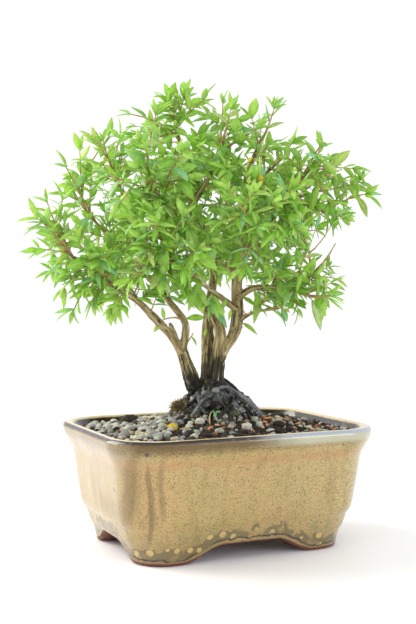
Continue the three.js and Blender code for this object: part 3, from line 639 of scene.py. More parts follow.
# Wood: the old root mound with the surface roots that grip it, three stems that lean apart and the
# branches they fork into. The bark is thin, tan and stringy, nearly black and mossy at the foot.
# A branch is its radii at both ends, whether shoots grow on its outer part, and the way it takes.
TREE_TURN = math.radians(-24.6)
LIMBS = {
    "left stem": ((4.6, 2.9), False,
                  [(-8.5, -2, 79), (-12, -2, 87), (-14, -3, 93), (-16, -4, 99), (-18, -5, 105)]),
    "left low branch": ((2.5, 0.8), True,
                        [(-18, -5, 104), (-25, -9, 114.5), (-34.5, -14, 125), (-41.5, -19, 132),
                         (-50.5, -26, 138.5), (-59.5, -33, 144), (-69, -38, 151), (-76, -42, 158)]),
    "left high branch": ((2.4, 0.8), True,
                         [(-18, -5, 104), (-16, -4, 112.5), (-16.5, -3, 120.5), (-23.5, 0, 129.5),
                          (-31.5, 4, 138.5), (-41, 8, 148.5), (-51.5, 12, 158.5), (-61.5, 15, 169.5),
                          (-72, 18, 181.5)]),
    "left rising branch": ((1.4, 0.8), True,
                           [(-41, 8, 148.5), (-42, 2, 159), (-44.5, -6, 172.5), (-48.5, -12, 186.5),
                            (-54, -16, 200)]),
    "left stub": ((1.3, 0.9), False, [(-19, -5, 106), (-21, -6, 112.5), (-24.5, -7, 119.5)]),
    "middle stem": ((4.8, 2.7), False,
                    [(-3.5, 0, 79), (-3.5, 0, 89.5), (-3.5, 1, 104.5), (-4, 2, 114.5), (-3.5, 2, 124)]),
    "middle leader": ((2.7, 0.9), True,
                      [(-3.5, 2, 123), (-2.5, 2, 132), (-1, 3, 140.5), (-1, 4, 150.5), (-3, 5, 160.5),
                       (-7, 6, 171.5), (-11.5, 7, 184.5), (-14.5, 8, 199), (-18, 9, 214.5),
                       (-21, 10, 226)]),
    "middle front branch": ((1.6, 0.8), True,
                            [(-3, 5, 160.5), (-9, -8, 166.5), (-16.5, -22, 173), (-24, -36, 180.5),
                             (-31, -45, 187)]),
    "middle back branch": ((1.5, 0.8), True,
                           [(-7, 6, 171.5), (-14, 20, 180), (-23.5, 36, 189), (-34.5, 50, 197)]),
    "middle top branch": ((1.4, 0.8), True,
                          [(-11.5, 7, 184.5), (-5, -4, 194.5), (0.5, -14, 206.5), (4, -19, 216)]),
    "second stem": ((4.4, 2.3), False,
                    [(0, -3, 79), (1, -4, 90.5), (2.5, -4, 105), (3, -3, 114.5), (-0.5, 0, 123.5),
                     (-3, 2, 129.5)]),
    "right stem foot": ((2.2, 3.4), False, [(3, -4, 98.5), (6, -2, 106.5), (9.5, 0, 111.5), (12, 2, 118)]),
    "right leader": ((3.5, 1), True,
                     [(11.5, 1.6, 117), (12.5, 2, 126.5), (12, 2, 142.5), (13, 2, 152.5), (14.5, 2, 164.5),
                      (15.5, 2, 184), (17, 2, 193), (19, 0, 203.5), (23, -4, 213), (26, -7, 219)]),
    "cross branch": ((1.8, 0.8), True,
                     [(10.5, 1, 127.5), (5, -2, 132), (0.5, -7, 135.5), (-6, -14, 140.5), (-13, -24, 147),
                      (-20, -36, 152), (-27.5, -46, 155.5)]),
    "right low branch": ((2, 0.8), True,
                         [(12.5, 2, 133), (19, 0, 137.5), (26, -3, 139), (34, -6, 138.5), (41, -9, 139),
                          (48, -12, 142), (55, -15, 149)]),
    "right drooping branch": ((1.3, 0.8), True, [(34, -6, 138.5), (43, -16, 136.5), (50.5, -25, 134)]),
    "right twig": ((1.2, 0.7), True, [(13, 2, 120), (18, 0, 123.5), (23, -2, 125.5), (28.5, -5, 126.5)]),
    "right high branch": ((1.9, 0.8), True,
                          [(15.5, 2, 183), (22.5, 6, 185), (30.5, 10, 187), (41, 15, 188), (52, 20, 186),
                           (62.5, 24, 181)]),
    "right rising branch": ((1.3, 0.8), True, [(41, 15, 188), (46, 10, 194.5), (51, 4, 201.5)]),
    "back right branch": ((1.9, 0.8), True,
                          [(13, 2, 152.5), (20, 16, 158.5), (28.5, 32, 164), (38.5, 46, 168.5)]),
    "back top branch": ((1.8, 0.8), True, [(14.5, 2, 164.5), (12, 16, 173), (8, 32, 184), (4.5, 45, 196)]),
    "front right branch": ((1.8, 0.8), True,
                           [(15, 2, 174.5), (21, -10, 178), (26.5, -24, 180), (33, -38, 182)]),
    "back left branch": ((1.8, 0.8), True,
                         [(12.2, 2, 141.5), (10, 18, 147.5), (4.5, 34, 153), (-3.5, 48, 158)]),
    "front branch": ((1.8, 0.8), True,
                     [(13, 2, 152.5), (16.5, -14, 156.5), (18, -30, 160), (19.5, -43, 162.5)]),
    "top right branch": ((1.5, 0.8), True, [(17, 2, 193), (26, 10, 200), (35.5, 18, 208.5)]),
}
MOUND_PROFILE = [
    (17, 44), (25.4, 63), (25.4, 67.5), (23.6, 71), (18.2, 75.5), (12.8, 80), (8, 83.5), (3, 85),
]
MOUND_SIDES = 64
CLOD_SIZE = 6
CLOD_HEIGHT = 1.7
BURIED_HEIGHT = 66
BARK_VOXEL = 0.56
WOOD_SEED = 311

# Two old roots that stand clear of the mound: a grey ridge over its right side and a thin one in front.
# Each is its radii and its way. More roots run over the mound at random places. Roots are worn grey up
# to a distance from their axis, the open ones wholly and the others by a share.
OPEN_ROOTS = [
    ((1.2, 1), [(-4, -13, 80), (-1.5, -13, 82.6), (1.5, -12, 84.6), (5, -10.5, 85.4), (9, -9, 84.2),
                (13, -8.5, 81.4), (18, -8, 77.6), (22, -7.5, 74), (26, -7, 69.5)]),
    ((0.8, 0.6), [(-0.5, -12.5, 83.5), (-4, -15.5, 81), (-8, -18.5, 77.5), (-11, -21, 73.5),
                  (-13, -22, 70)]),
]
THICK_ROOTS = 11
THIN_ROOTS = 16
OPEN_WEAR = 1.9
THICK_WEAR = (0.12, 3)
THIN_WEAR = (0.7, 1.6)

# Where soil has washed out between the roots: the middle, the width and the depth of each hollow.
HOLLOWS = [
    ((-1.5, -18, 77), 8.5, 6), ((7, -15, 79), 5, 3), ((8, -19, 74), 5, 3), ((-13, -15, 74), 5, 2.5),
    ((16, 12, 73), 6, 3), ((-8, 18, 74), 7, 3.5), ((18, -13, 70), 4.5, 2.5),
]
HOLLOWS_TOP = 84
RIDGE_RADIUS = 2.2

# The foot of the wood is rough with clods and algae up to a height, and wood is knotty where it is old.
FOOT_TOP = 88
FOOT_FADE = 8
OLD_WOOD_TOP = 155
OLD_WOOD_FADE = 60
BRANCH_SHIFT = 17


def ring_frames(way):
    """A turned frame for each point of a way, with its Z along the way and no twist between them."""
    frames = []
    normal = Vector((0.3, 1, 0.2))
    for i, point in enumerate(way):
        ahead = (way[min(i + 1, len(way) - 1)] - way[max(i - 1, 0)]).normalized()
        normal = (normal - ahead * normal.dot(ahead)).normalized()
        side = ahead.cross(normal)
        turned = Matrix((normal, side, ahead)).transposed().to_4x4()
        frames.append(Matrix.Translation(point) @ turned)
    return frames


def extruded_face(shape, face, inner):
    """Extrudes the end face of a shape. One that then lies inside the shape is taken out."""
    made = bmesh.ops.extrude_face_region(shape, geom=face)["geom"]
    if inner:
        bmesh.ops.delete(shape, geom=face, context="FACES_KEEP_BOUNDARY")
    return [part for part in made if isinstance(part, bmesh.types.BMFace)]


def rod_shape(way, radii, sides):
    """A round rod: a circle that is extruded along its way and changes its radius."""
    rod = bmesh.new()
    bmesh.ops.create_circle(rod, cap_ends=True, segments=sides, radius=1)
    face = rod.faces[:]
    steps = len(way) - 1
    sizes = [radii[0] + (radii[1] - radii[0]) * i / steps for i in range(steps + 1)]
    frames = ring_frames(way)
    stages = [turned @ Matrix.Diagonal((size, size, size, 1)) for turned, size in zip(frames, sizes)]
    bmesh.ops.transform(rod, matrix=stages[0], verts=rod.verts)
    for before, after in zip(stages, stages[1:]):
        face = extruded_face(rod, face, before is not stages[0])
        bmesh.ops.transform(rod, matrix=after @ before.inverted(), verts=face[0].verts)
    bmesh.ops.recalc_face_normals(rod, faces=rod.faces)
    return as_mesh(rod, "rod")


def mound_shape():
    """The root mound: rings of a flattened cone, pushed in and out as soil clods."""
    mound = bmesh.new()
    bmesh.ops.create_circle(mound, cap_ends=True, segments=MOUND_SIDES, radius=MOUND_PROFILE[0][0],
                            matrix=Matrix.Translation((0, 0, MOUND_PROFILE[0][1])))
    face = mound.faces[:]
    profile = smooth_way(MOUND_PROFILE, 5)
    for level, (before, after) in enumerate(zip(profile, profile[1:])):
        face = extruded_face(mound, face, level)
        grow = after.x / before.x
        bmesh.ops.scale(mound, vec=(grow, grow, 1), verts=face[0].verts)
        bmesh.ops.translate(mound, vec=(0, 0, after.y - before.y), verts=face[0].verts)
    for vertex in mound.verts:
        if vertex.co.z > BURIED_HEIGHT:
            clod = noise.fractal(vertex.co / CLOD_SIZE, 0.9, 2, 4) - 0.25
            vertex.co += Vector((vertex.co.x, vertex.co.y, 12)).normalized() * CLOD_HEIGHT * clod
    return as_mesh(mound, "mound")


def mound_surface(angle, radius):
    """A point on the root mound's slope at an angle and a distance from its middle."""
    heights = [z for _, z in MOUND_PROFILE[2:]]
    radii = [r for r, _ in MOUND_PROFILE[2:]]
    z = float(np.interp(radius, radii[::-1], heights[::-1]))
    return Vector((radius * math.cos(angle), radius * math.sin(angle), z))


def root_ways(chance):
    """The surface roots: thick ones that run down the mound and thin ones that cross them."""
    roots = OPEN_ROOTS[:]
    for index in range(THICK_ROOTS):
        angle = index / THICK_ROOTS * FULL_TURN + chance.between(-0.2, 0.2)
        bend = chance.between(-0.45, 0.45)
        size = chance.between(1.7, 3.4)
        points = [mound_surface(angle, 3) + Vector((0, 0, 2)), mound_surface(angle + bend * 0.2, 9),
                  mound_surface(angle + bend * 0.6, 15), mound_surface(angle + bend, 20.5),
                  mound_surface(angle + bend * 1.2, 24.6) - Vector((0, 0, 2))]
        roots.append(((size, size * 0.55), points))
    for _ in range(THIN_ROOTS):
        angle = chance.between(0, FULL_TURN)
        bend = chance.between(-1.1, 1.1)
        size = chance.between(0.7, 1.2)
        points = [mound_surface(angle + bend * share, 7 + 17 * share) + Vector((0, 0, 0.5))
                  for share in (0, 0.3, 0.6, 0.9)]
        roots.append(((size, size * 0.6), points))
    return roots


def voxel_joined(parts, size):
    """Closed shapes melted into one skin, as wood grows together where branches fork."""
    lump = bmesh.new()
    for part in parts:
        lump.from_mesh(part)
    holder = new_object("joined", as_mesh(lump, "joined"))
    remesh = holder.modifiers.new("skin", "REMESH")
    remesh.mode = "VOXEL"
    remesh.voxel_size = size
    evaluated = holder.evaluated_get(bpy.context.evaluated_depsgraph_get())
    skin = bmesh.new()
    skin.from_mesh(evaluated.to_mesh())
    bpy.data.objects.remove(holder)
    return skin


def straightened(points, ways):
    """For each point: which branch is nearest, how far its axis is, and the point's place along it."""
    best = np.full(len(points), 1e9)
    nearest = np.zeros(len(points), int)
    result = np.zeros((len(points), 3))
    for number, way in enumerate(ways):
        frames = ring_frames(way)
        travelled = 0
        for i in range(len(way) - 1):
            start = np.array(way[i])
            step = np.array(way[i + 1]) - start
            length = np.linalg.norm(step)
            share = np.clip((points - start) @ step / length ** 2, 0, 1)
            off = points - start - share[:, None] * step
            away = np.linalg.norm(off, axis=1)
            near = away < best
            turned = np.array(frames[i].to_3x3())
            across = off @ turned
            result[near, 0] = across[near, 0] + BRANCH_SHIFT * number
            result[near, 1] = across[near, 1]
            result[near, 2] = travelled + share[near] * length
            best[near] = away[near]
            nearest[near] = number
            travelled += length
    return nearest, best, result


def wood_shape():
    chance = Chance(WOOD_SEED)
    ways = [smooth_way(path, 5) for _, _, path in LIMBS.values()]
    parts = [mound_shape()]
    for way, (radii, _, _) in zip(ways, LIMBS.values()):
        parts.append(rod_shape(way, radii, 14 if radii[0] > 2.1 else 10))
    for radii, points in root_ways(chance):
        way = smooth_way(points, 5)
        ways.append(way)
        parts.append(rod_shape(way, radii, 10))
    skin = voxel_joined(parts, BARK_VOXEL)
    points = np.array([vertex.co for vertex in skin.verts])
    nearest, away, grain = straightened(points, ways)
    layer = skin.verts.layers.float_vector.new("grain")
    height, worn, hollow_shade = [skin.verts.layers.float.new(name) for name in ("height", "worn", "hollow_shade")]
    open_roots = range(len(LIMBS), len(LIMBS) + len(OPEN_ROOTS))
    thin_roots = range(len(ways) - THIN_ROOTS, len(ways))
    skin.normal_update()
    for vertex, way_number, off_axis, along in zip(skin.verts, nearest, away, grain):
        z = vertex.co.z
        vertex[layer] = Vector(along)
        if way_number in open_roots:
            vertex[worn] = min(max(OPEN_WEAR - off_axis, 0), 1)
        elif way_number >= len(LIMBS):
            share, reach = THIN_WEAR if way_number in thin_roots else THICK_WEAR
            vertex[worn] = share * min(max(reach - off_axis, 0), 1)
        sunk = 0
        # A hollow sinks the skin, and its share is kept so that the bark paints shade in it.
        if z < HOLLOWS_TOP and not (way_number in open_roots and off_axis < RIDGE_RADIUS):
            for middle, width, depth in HOLLOWS:
                share = max(1 - ((vertex.co - Vector(middle)).length / width) ** 2, 0)
                vertex[hollow_shade] = max(vertex[hollow_shade], share)
                sunk += depth * share * share
        string = noise.fractal(Vector((along[0] / 1.3, along[1] / 1.3, along[2] / 13)), 0.8, 2, 3)
        knot = noise.fractal(vertex.co / 5.5, 1, 2, 2)
        crumb = noise.fractal(vertex.co / 1.9, 0.7, 2, 3)
        low = min(max((FOOT_TOP - z) / FOOT_FADE, 0), 1) * (1 - vertex[worn])
        thick = min(max((OLD_WOOD_TOP - z) / OLD_WOOD_FADE, 0), 1)
        # The relief is kept in the height layer; the bark paints shade and highlight from it.
        vertex[height] = string * (1 - low) + (0.4 * string + 1.1 * crumb) * low
        wood = (0.16 + 0.34 * thick) * string + 0.42 * thick * knot
        vertex.co += vertex.normal * (wood * (1 - low) + 1.15 * low * vertex[height] - sunk)
    bmesh.ops.rotate(skin, matrix=Matrix.Rotation(TREE_TURN, 3, "Z"), verts=skin.verts)
    return skin


# Serissa bark: tan and stringy with dark cracks, and with pale streaks where it peels. It is nearly
# black with algae low down, with mossy patches and blue-grey worn roots. Painted shade darkens its
# hollows and the sunk parts of its relief, and a painted highlight lightens the raised parts.
def bark_look():
    look, node, mm = new_look("stringy serissa bark")
    grain = node("Attribute", attribute_name="grain", out="Vector")
    relief = node("Attribute", attribute_name="height", out="Fac")
    worn = node("Attribute", attribute_name="worn", out="Fac")
    hollow_shade = node("Attribute", attribute_name="hollow_shade", out="Fac")
    right, _, height = node("SeparateXYZ", mm).node.outputs
    along_grain = []
    for across, lengthwise, detail, distortion in (
            (0.75, 0.07, 6, 0.5), (0.34, 0.018, 3, 0), (0.9, 0.12, 4, 1), (2.2, 0.3, 5, 0)):
        stretched = node("Mapping", grain, named={"Scale": (across, across, lengthwise)})
        along_grain.append(node("TexNoise", stretched, 1, detail, 0.62, named={"Distortion": distortion}))
    strings, peel, splits, fine = along_grain
    knots = node("TexNoise", mm, 0.28, 5, 0.65)
    more_above = node("MapRange", height, 96, 112, 0.25, 0.8)
    peeled = node("Math.MULTIPLY", node("MapRange", peel, 0.58, 0.66), more_above)
    crack = node("MapRange", splits, 0.44, 0.36)

    # The dark foot ends raggedly, higher on the left, and grit sticks to its lowest part.
    ragged = node("Math.MULTIPLY_ADD", node("TexNoise", mm, 0.11, 4), 34, height)
    ragged = node("Math.MULTIPLY_ADD", strings, 48, ragged)
    ragged = node("Math.MULTIPLY_ADD", node("MapRange", right, 8, 2), 5, ragged)
    less_above = node("MapRange", height, 84, 96, 1, 0.84)
    foot = node("Math.MULTIPLY", node("MapRange", ragged, 149, 135), less_above)
    # Algae black, with painted shade where the relief sinks and a painted grey-blue highlight where it
    # stands out.
    algae_and_painted_relief = node("ValToRGB", node("Math.MULTIPLY_ADD", relief, 0.3, strings), stops=[
        (0.36, "#080808"), (0.56, "#1F1E1C"), (0.72, "#5C5C57"), (0.92, "#C3C9CA")])
    speck = node("SeparateXYZ", node("TexVoronoi", mm, 0.6, out="Color"))
    for start, end, most, grit_colour in ((0.72, 0.86, 0.75, "#C6C2B4"), (0.2, 0.06, 0.7, "#6B4A34")):
        stuck = node("MapRange", height, 86, 74, 0, most)
        stuck = node("Math.MULTIPLY", node("MapRange", speck, start, end), stuck)
        algae_and_painted_relief = node("Mix", stuck, algae_and_painted_relief, grit_colour)
    moss = node("MapRange", node("TexNoise", mm, 0.16, 5, 0.7), 0.56, 0.66)

    # Lighter on raised strings and darker in the grooves: partly the bark's own tone, partly painted shade.
    colour = node("ValToRGB", node("Math.MULTIPLY_ADD", relief, 0.16, strings), stops=[
        (0.26, "#33291A"), (0.38, "#725F42"), (0.47, "#9A885C"), (0.57, "#B4A272"), (0.68, "#CEC094"),
        (0.8, "#EAE2C4")])
    for share, paint in (
        (node("MapRange", height, 118, 150, 0, 0.4),
         node("ValToRGB", strings, stops=[(0.3, "#7A5A3C"), (0.7, "#DEBC92")])),
        (node("MapRange", knots, 0.56, 0.68, 0, 0.75), "#3E3524"),
        (peeled, "#CFC7A0"),
        (node("Math.MULTIPLY", crack, 0.85), "#1F1910"),
        (foot, algae_and_painted_relief),
        (node("Math.MULTIPLY", worn, node("MapRange", strings, 0.34, 0.6, 0.15, 0.95)), "#939A9C"),
        # Painted shade in the hollows between the roots.
        (node("Math.MULTIPLY", hollow_shade, 0.9), "#0A0A09"),
        (node("Math.MULTIPLY", moss, node("MapRange", height, 96, 82, 0.15, 0.85)),
         node("ValToRGB", strings, stops=[(0.35, "#3E4218"), (0.65, "#8E9440")])),
    ):
        colour = node("Mix", share, colour, paint)

    depth = node("Math.MULTIPLY_ADD", crack, -0.5, node("Math.MULTIPLY_ADD", fine, 0.6, strings))
    bump = node("Bump", named={"Height": depth, "Strength": 0.9, "Distance": 0.6 * MILLIMETRE})
    node("OutputMaterial", node("BsdfPrincipled", named={
        "Base Color": colour, "Roughness": 0.74, "Normal": bump, "Specular IOR Level": 0.35}))
    return look


place(wood_shape(), "roots_stems_and_branches", bark_look(), "wood", "trunk")

# Shoots: this year's leafy growth. Each starts on a branch and ends where the crown's outline is,
# by the same rule as its solid, so that it stays in that solid's place.
CROWN_HEART = (-8, 0, 172)
CROWN_DEPTH = 78
CROWN_OUTLINE = [
    (0, 88), (16, 99), (37, 86), (50, 70), (64, 68), (74, 75), (96, 81), (106, 86),
    (122, 80), (137, 88), (154, 90), (171, 98), (186, 98), (199, 90), (217, 86),
    (228, 68), (242, 46), (270, 40), (302, 48), (320, 88), (332, 84), (346, 76),
]
SPRAY_COUNT = 44
LOWEST_SPRAY = -0.5
INNER_REACH = 0.6
OUTER_REACH = 0.88
BARE_SHARE = 0.7
SHOOT_LENGTH = 36
SHOOT_RADIUS = 1
SHOOT_ROOM = (2.5, 2.2)
SHOOT_GAP = 0.3
SHOOT_STEPS = 24
HIDDEN_STEPS = 12
BASES_TRIED = 12
TURN_COST = 14
CROWDING_COST = 12
GOLDEN_ANGLE = math.pi * (3 - math.sqrt(5))


def outline_reach(angle):
    degrees = (math.degrees(angle) + 360) % 360
    angles = [at for at, _ in CROWN_OUTLINE] + [360]
    reaches = [reach for _, reach in CROWN_OUTLINE] + [CROWN_OUTLINE[0][1]]
    return float(np.interp(degrees, angles, reaches))


def shoot_tip(index):
    rise = 1 + (LOWEST_SPRAY - 1) * ((index + 0.5) / SPRAY_COUNT)
    level = math.sqrt(1 - rise * rise)
    across = level * math.cos(index * GOLDEN_ANGLE)
    depth = level * math.sin(index * GOLDEN_ANGLE)
    flat = math.hypot(across, rise) / outline_reach(math.atan2(rise, across))
    reach = 1 / math.hypot(flat, depth / CROWN_DEPTH)
    share = INNER_REACH if index % 4 == 2 else OUTER_REACH
    return np.array(CROWN_HEART) + np.array((across, depth, rise)) * reach * share


def shoot_bases():
    """Every place on the outer part of a leafy branch where a shoot may start."""
    bases = []
    for _, leafy, path in LIMBS.values():
        last = len(path) - 1
        for half in range(math.ceil(last * BARE_SHARE), 2 * last + 1) if leafy else ():
            low = min(half // 2, last - 1)
            start = np.array(path[low], float)
            end = np.array(path[low + 1], float)
            ahead = (end - start) / np.linalg.norm(end - start)
            bases.append({"point": start + (end - start) * (half / 2 - low), "ahead": ahead, "used": 0})
    return bases


def room_of(path, radii):
    """The room that a branch takes: start, end and radius of each stretch of it."""
    span = radii[1] - radii[0]
    stretches = enumerate(zip(path, path[1:]))
    return [(start, end, radii[0] + span * i / len(path)) for i, (start, end) in stretches]


def is_clear(start, end, radius, taken):
    """True if a stretch passes every stretch that is taken with a small gap."""
    first = end - start
    second = taken["end"] - taken["start"]
    between = start - taken["start"]
    a = first @ first
    e = np.sum(second * second, axis=1)
    f = np.sum(second * between, axis=1)
    c = between @ first
    b = second @ first
    spread = a * e - b * b
    s = np.where(spread > 1e-9, np.clip((b * f - c * e) / np.where(spread > 1e-9, spread, 1), 0, 1), 0)
    t = np.clip((b * s + f) / e, 0, 1)
    s = np.clip((b * t - c) / a, 0, 1)
    off = start + first * s[:, None] - taken["start"] - second * t[:, None]
    return bool(np.all(np.linalg.norm(off, axis=1) > radius + taken["radius"] + SHOOT_GAP))


def as_taken(rooms):
    return {"start": np.array([start for start, _, _ in rooms], float),
            "end": np.array([end for _, end, _ in rooms], float),
            "radius": np.array([radius for _, _, radius in rooms])}


def grow_shoots():
    """The shoots' curves, each as a row of points from where it leaves its branch to its tip."""
    rooms = [room for radii, _, path in LIMBS.values() for room in room_of(path, radii)]
    bases = shoot_bases()
    shoots = []
    for index in range(SPRAY_COUNT):
        tip = shoot_tip(index)

        def cost(base):
            towards = tip - base["point"]
            length = np.linalg.norm(towards)
            turn = towards @ base["ahead"] / length
            return abs(length - SHOOT_LENGTH) + TURN_COST * (1 - turn) + CROWDING_COST * base["used"]

        taken = as_taken(rooms)
        for base in sorted(bases, key=cost)[:BASES_TRIED]:
            length = np.linalg.norm(tip - base["point"])
            bend = base["point"] + base["ahead"] * length * 0.3 + np.array((0, 0, length * 0.12))

            def at(share):
                return base["point"] * (1 - share) ** 2 + bend * 2 * share * (1 - share) + tip * share ** 2

            points = [at(i / SHOOT_STEPS) for i in range(SHOOT_STEPS + 1)]
            free = [is_clear(start, end, SHOOT_RADIUS, taken) for start, end in zip(points, points[1:])]
            first = next((i for i in range(HIDDEN_STEPS) if free[i]), HIDDEN_STEPS)
            if all(free[first:]):
                stretch = SHOOT_STEPS - first
                path = [at((first + share * stretch) / SHOOT_STEPS) for share in (0, 0.33, 0.67, 1)]
                base["used"] += 1
                shoots.append([Vector(point) for point in points])
                rooms += room_of(path, SHOOT_ROOM)
                break
    return shoots


shoots = grow_shoots()

# Leaves: small pointed ovals in opposite pairs, each pair turned a quarter from the one below, with
# a rosette of young ones at the tip. Most are slender. They are folded a little along the midrib,
# bent down or to one side, and hang where they are old.
LEAF_STEPS = 6
LEAF_THICKNESS = 0.02
LEAF_SEED = 90210
LEAF_FORMS = [
    {"width": 0.24, "widest": 0.42, "droop": 0.1, "fold": 0.22, "bow": 0.06},
    {"width": 0.3, "widest": 0.46, "droop": 0.26, "fold": 0.12, "bow": -0.05},
    {"width": 0.35, "widest": 0.45, "droop": -0.1, "fold": 0.2, "bow": 0.04},
    {"width": 0.27, "widest": 0.4, "droop": 0.34, "fold": 0.16, "bow": -0.08},
    {"width": 0.4, "widest": 0.5, "droop": 0.14, "fold": 0.1, "bow": 0.03},
    {"width": 0.5, "widest": 0.52, "droop": 0.22, "fold": 0.06, "bow": -0.03},
]

# Every leaf has a tint from 0 up to where yellow begins, and about one in twelve has fallen.
YELLOW_TINT = 0.987
MISSING_LEAVES = 0.08

# A shoot at the crown's outline has fewer leaves and side twigs than one in the thick of it.
OUTER_SHOOT = {"pairs": (0.34, 0.5, 0.66, 0.82), "leaf": 11.5, "whorl": 3,
               "sides": (0.24, 0.45, 0.66), "side pairs": (0.45, 0.8), "side whorl": 3}
INNER_SHOOT = {"pairs": (0.3, 0.42, 0.54, 0.66, 0.78, 0.9), "leaf": 13, "whorl": 5,
               "sides": (0.16, 0.3, 0.42, 0.54, 0.66, 0.78), "side pairs": (0.35, 0.6, 0.85),
               "side whorl": 4}
TOP_SHOOT_HEIGHT = 212
TOP_SIDES = (0.3, 0.6)

# Open places in the crown, each as its left, right, lower and upper bound. Nothing grows in the light
# gap at the right, between the upper shoots and the low branch, and the leaves round it are thin.
LIGHT_GAP = (48, 74, 151, 170)
THIN_GAP = (38, 80, 138, 170)


def leaf_shape(form):
    """One leaf of unit length along +Y with its face up +Z, and a second skin under it."""
    leaf = bmesh.new()
    layers = {name: leaf.verts.layers.float.new(name) for name in ("across", "along", "under")}
    bmesh.ops.create_grid(leaf, x_segments=2, y_segments=LEAF_STEPS, size=0.5)
    for vertex in leaf.verts:
        along = vertex.co.y + 0.5
        aside = vertex.co.x * 2
        swell = along / form["widest"] if along < form["widest"] else (1 - along) / (1 - form["widest"])
        breadth = math.sin(min(max(swell, 0), 1) * math.pi / 2) ** 0.9
        half = form["width"] / 2 * max(breadth, 0.04)
        lift = form["fold"] * abs(aside) * half * 2 - form["droop"] * along ** 2
        vertex[layers["across"]] = aside
        vertex[layers["along"]] = along
        vertex.co = Vector((aside * half + form["bow"] * along ** 2, along, lift))
    bmesh.ops.solidify(leaf, geom=leaf.faces[:], thickness=LEAF_THICKNESS)
    leaf.normal_update()
    for face in leaf.faces:
        if face.normal.z < -0.05:
            for vertex in face.verts:
                vertex[layers["under"]] = 1
    bmesh.ops.recalc_face_normals(leaf, faces=leaf.faces)
    return as_mesh(leaf, "leaf")


leaf_forms = [leaf_shape(form) for form in LEAF_FORMS]


def leaf_matrix(foot, along, face, length, roll):
    """Where a leaf goes: from its foot along a direction, with its face turned to a side."""
    along = along.normalized()
    side = along.cross(face).normalized()
    turned = Matrix((side, along, side.cross(along))).transposed().to_4x4()
    size = Matrix.Diagonal((length, length, length, 1))
    return Matrix.Translation(foot) @ turned @ Matrix.Rotation(roll, 4, "Y") @ size


def outward_from(ahead, turn):
    """A direction square to a twig's own, turned round it."""
    level = Vector((0, 0, 1)).cross(ahead)
    level = level.normalized() if level.length > 0.05 else Vector((1, 0, 0))
    return Matrix.Rotation(turn, 3, ahead) @ level


def is_in(gap, point):
    left, right, low, high = gap
    return left < point.x < right and low < point.z < high


def add_leaf(whole, chance, foot, ahead, turn, lean, length, age):
    outward = outward_from(ahead, turn)
    along = outward * math.sin(lean) + ahead * math.cos(lean) + Vector((0, 0, -0.3 * (1 - age)))
    face = Vector((0, 0, 1)) + ahead * 0.6
    matrix = leaf_matrix(foot, along, face, length, chance.between(-0.85, 0.85))
    form = leaf_forms[int(chance.between(0, len(leaf_forms) - 0.001))]
    tint = chance.between(0, YELLOW_TINT)
    if not is_in(LIGHT_GAP, foot):
        add_shape(whole, form, matrix, tint=tint, age=age)


def add_twig(whole, chance, way, radii, pairs, leaf_length, whorl):
    """A twig with opposite pairs of leaves on it and a rosette at its tip."""
    if not (is_in(LIGHT_GAP, way[0]) and is_in(LIGHT_GAP, way[-1])):
        add_shape(whole, rod_shape(way, radii, 5), age=-1)
    turn = chance.between(0, math.pi)
    last = len(way) - 1
    for share in pairs:
        low = min(int(share * last), last - 1)
        foot = way[low].lerp(way[low + 1], share * last - low)
        ahead = (way[low + 1] - way[low]).normalized()
        turn += math.pi / 2 + chance.between(-0.25, 0.25)
        for half in (0, math.pi):
            if chance.between(0, 1) > MISSING_LEAVES:
                add_leaf(whole, chance, foot, ahead, turn + half, chance.between(0.6, 1.35),
                         leaf_length * chance.between(0.6, 1.2), chance.between(0.1, 0.6) + share * 0.25)
    ahead = (way[-1] - way[-2]).normalized()
    for number in range(whorl):
        add_leaf(whole, chance, way[-1], ahead, turn + number * GOLDEN_ANGLE + 1.2,
                 chance.between(0.2, 0.95), leaf_length * chance.between(0.5, 1.05), chance.between(0.6, 1))


def side_way(foot, ahead, turn, length, chance, sag=0.0):
    """The way of a side twig: out at an angle, then curving up towards the light."""
    lean = chance.between(0.6, 1.15)
    start = outward_from(ahead, turn) * math.sin(lean) + ahead * math.cos(lean)
    rise = Vector((0, 0, chance.between(-sag, 0.5)))
    shares = (0, 0.25, 0.5, 0.75, 1)
    return [foot + start * length * share + rise * length * share * share for share in shares]


def new_leafage():
    leafy = bmesh.new()
    for name in ("tint", "age", "across", "along", "under"):
        leafy.verts.layers.float.new(name)
    return leafy


def turned_to_pot(leafy):
    bmesh.ops.rotate(leafy, matrix=Matrix.Rotation(TREE_TURN, 3, "Z"), verts=leafy.verts)
    return leafy


def openness(point):
    """0 in the thick of the crown and 1 at its outline, where there is light between the shoots."""
    across = point.x - CROWN_HEART[0]
    rise = point.z - CROWN_HEART[2]
    share = math.hypot(across, rise) / outline_reach(math.atan2(rise, across))
    return 1 if is_in(THIN_GAP, point) else min(max((share - 0.55) / 0.3, 0), 1)


def way_length(way):
    return sum((after - before).length for before, after in zip(way, way[1:]))


def spray_shape(way, chance):
    """A shoot with its side twigs. The ones that reach the crown's outline are thinner."""
    spray = new_leafage()
    form = OUTER_SHOOT if openness(way[-1]) > 0.6 else INNER_SHOOT
    add_twig(spray, chance, way[::3], (0.8, 0.35), form["pairs"], form["leaf"], form["whorl"])
    turn = chance.between(0, FULL_TURN)
    for share in TOP_SIDES if way[-1].z > TOP_SHOOT_HEIGHT else form["sides"]:
        foot = way[int(share * SHOOT_STEPS)]
        ahead = (way[int(share * SHOOT_STEPS) + 1] - foot).normalized()
        turn += GOLDEN_ANGLE
        twig_length = chance.between(0.3, 0.5) * min(max(way_length(way), 26), 42) * (1.1 - 0.35 * share)
        side = side_way(foot, ahead, turn, twig_length, chance, 0.15)
        leaf_length = chance.between(8.5, 12.5)
        add_twig(spray, chance, side, (0.45, 0.25), form["side pairs"], leaf_length, form["side whorl"])
    return turned_to_pot(spray)


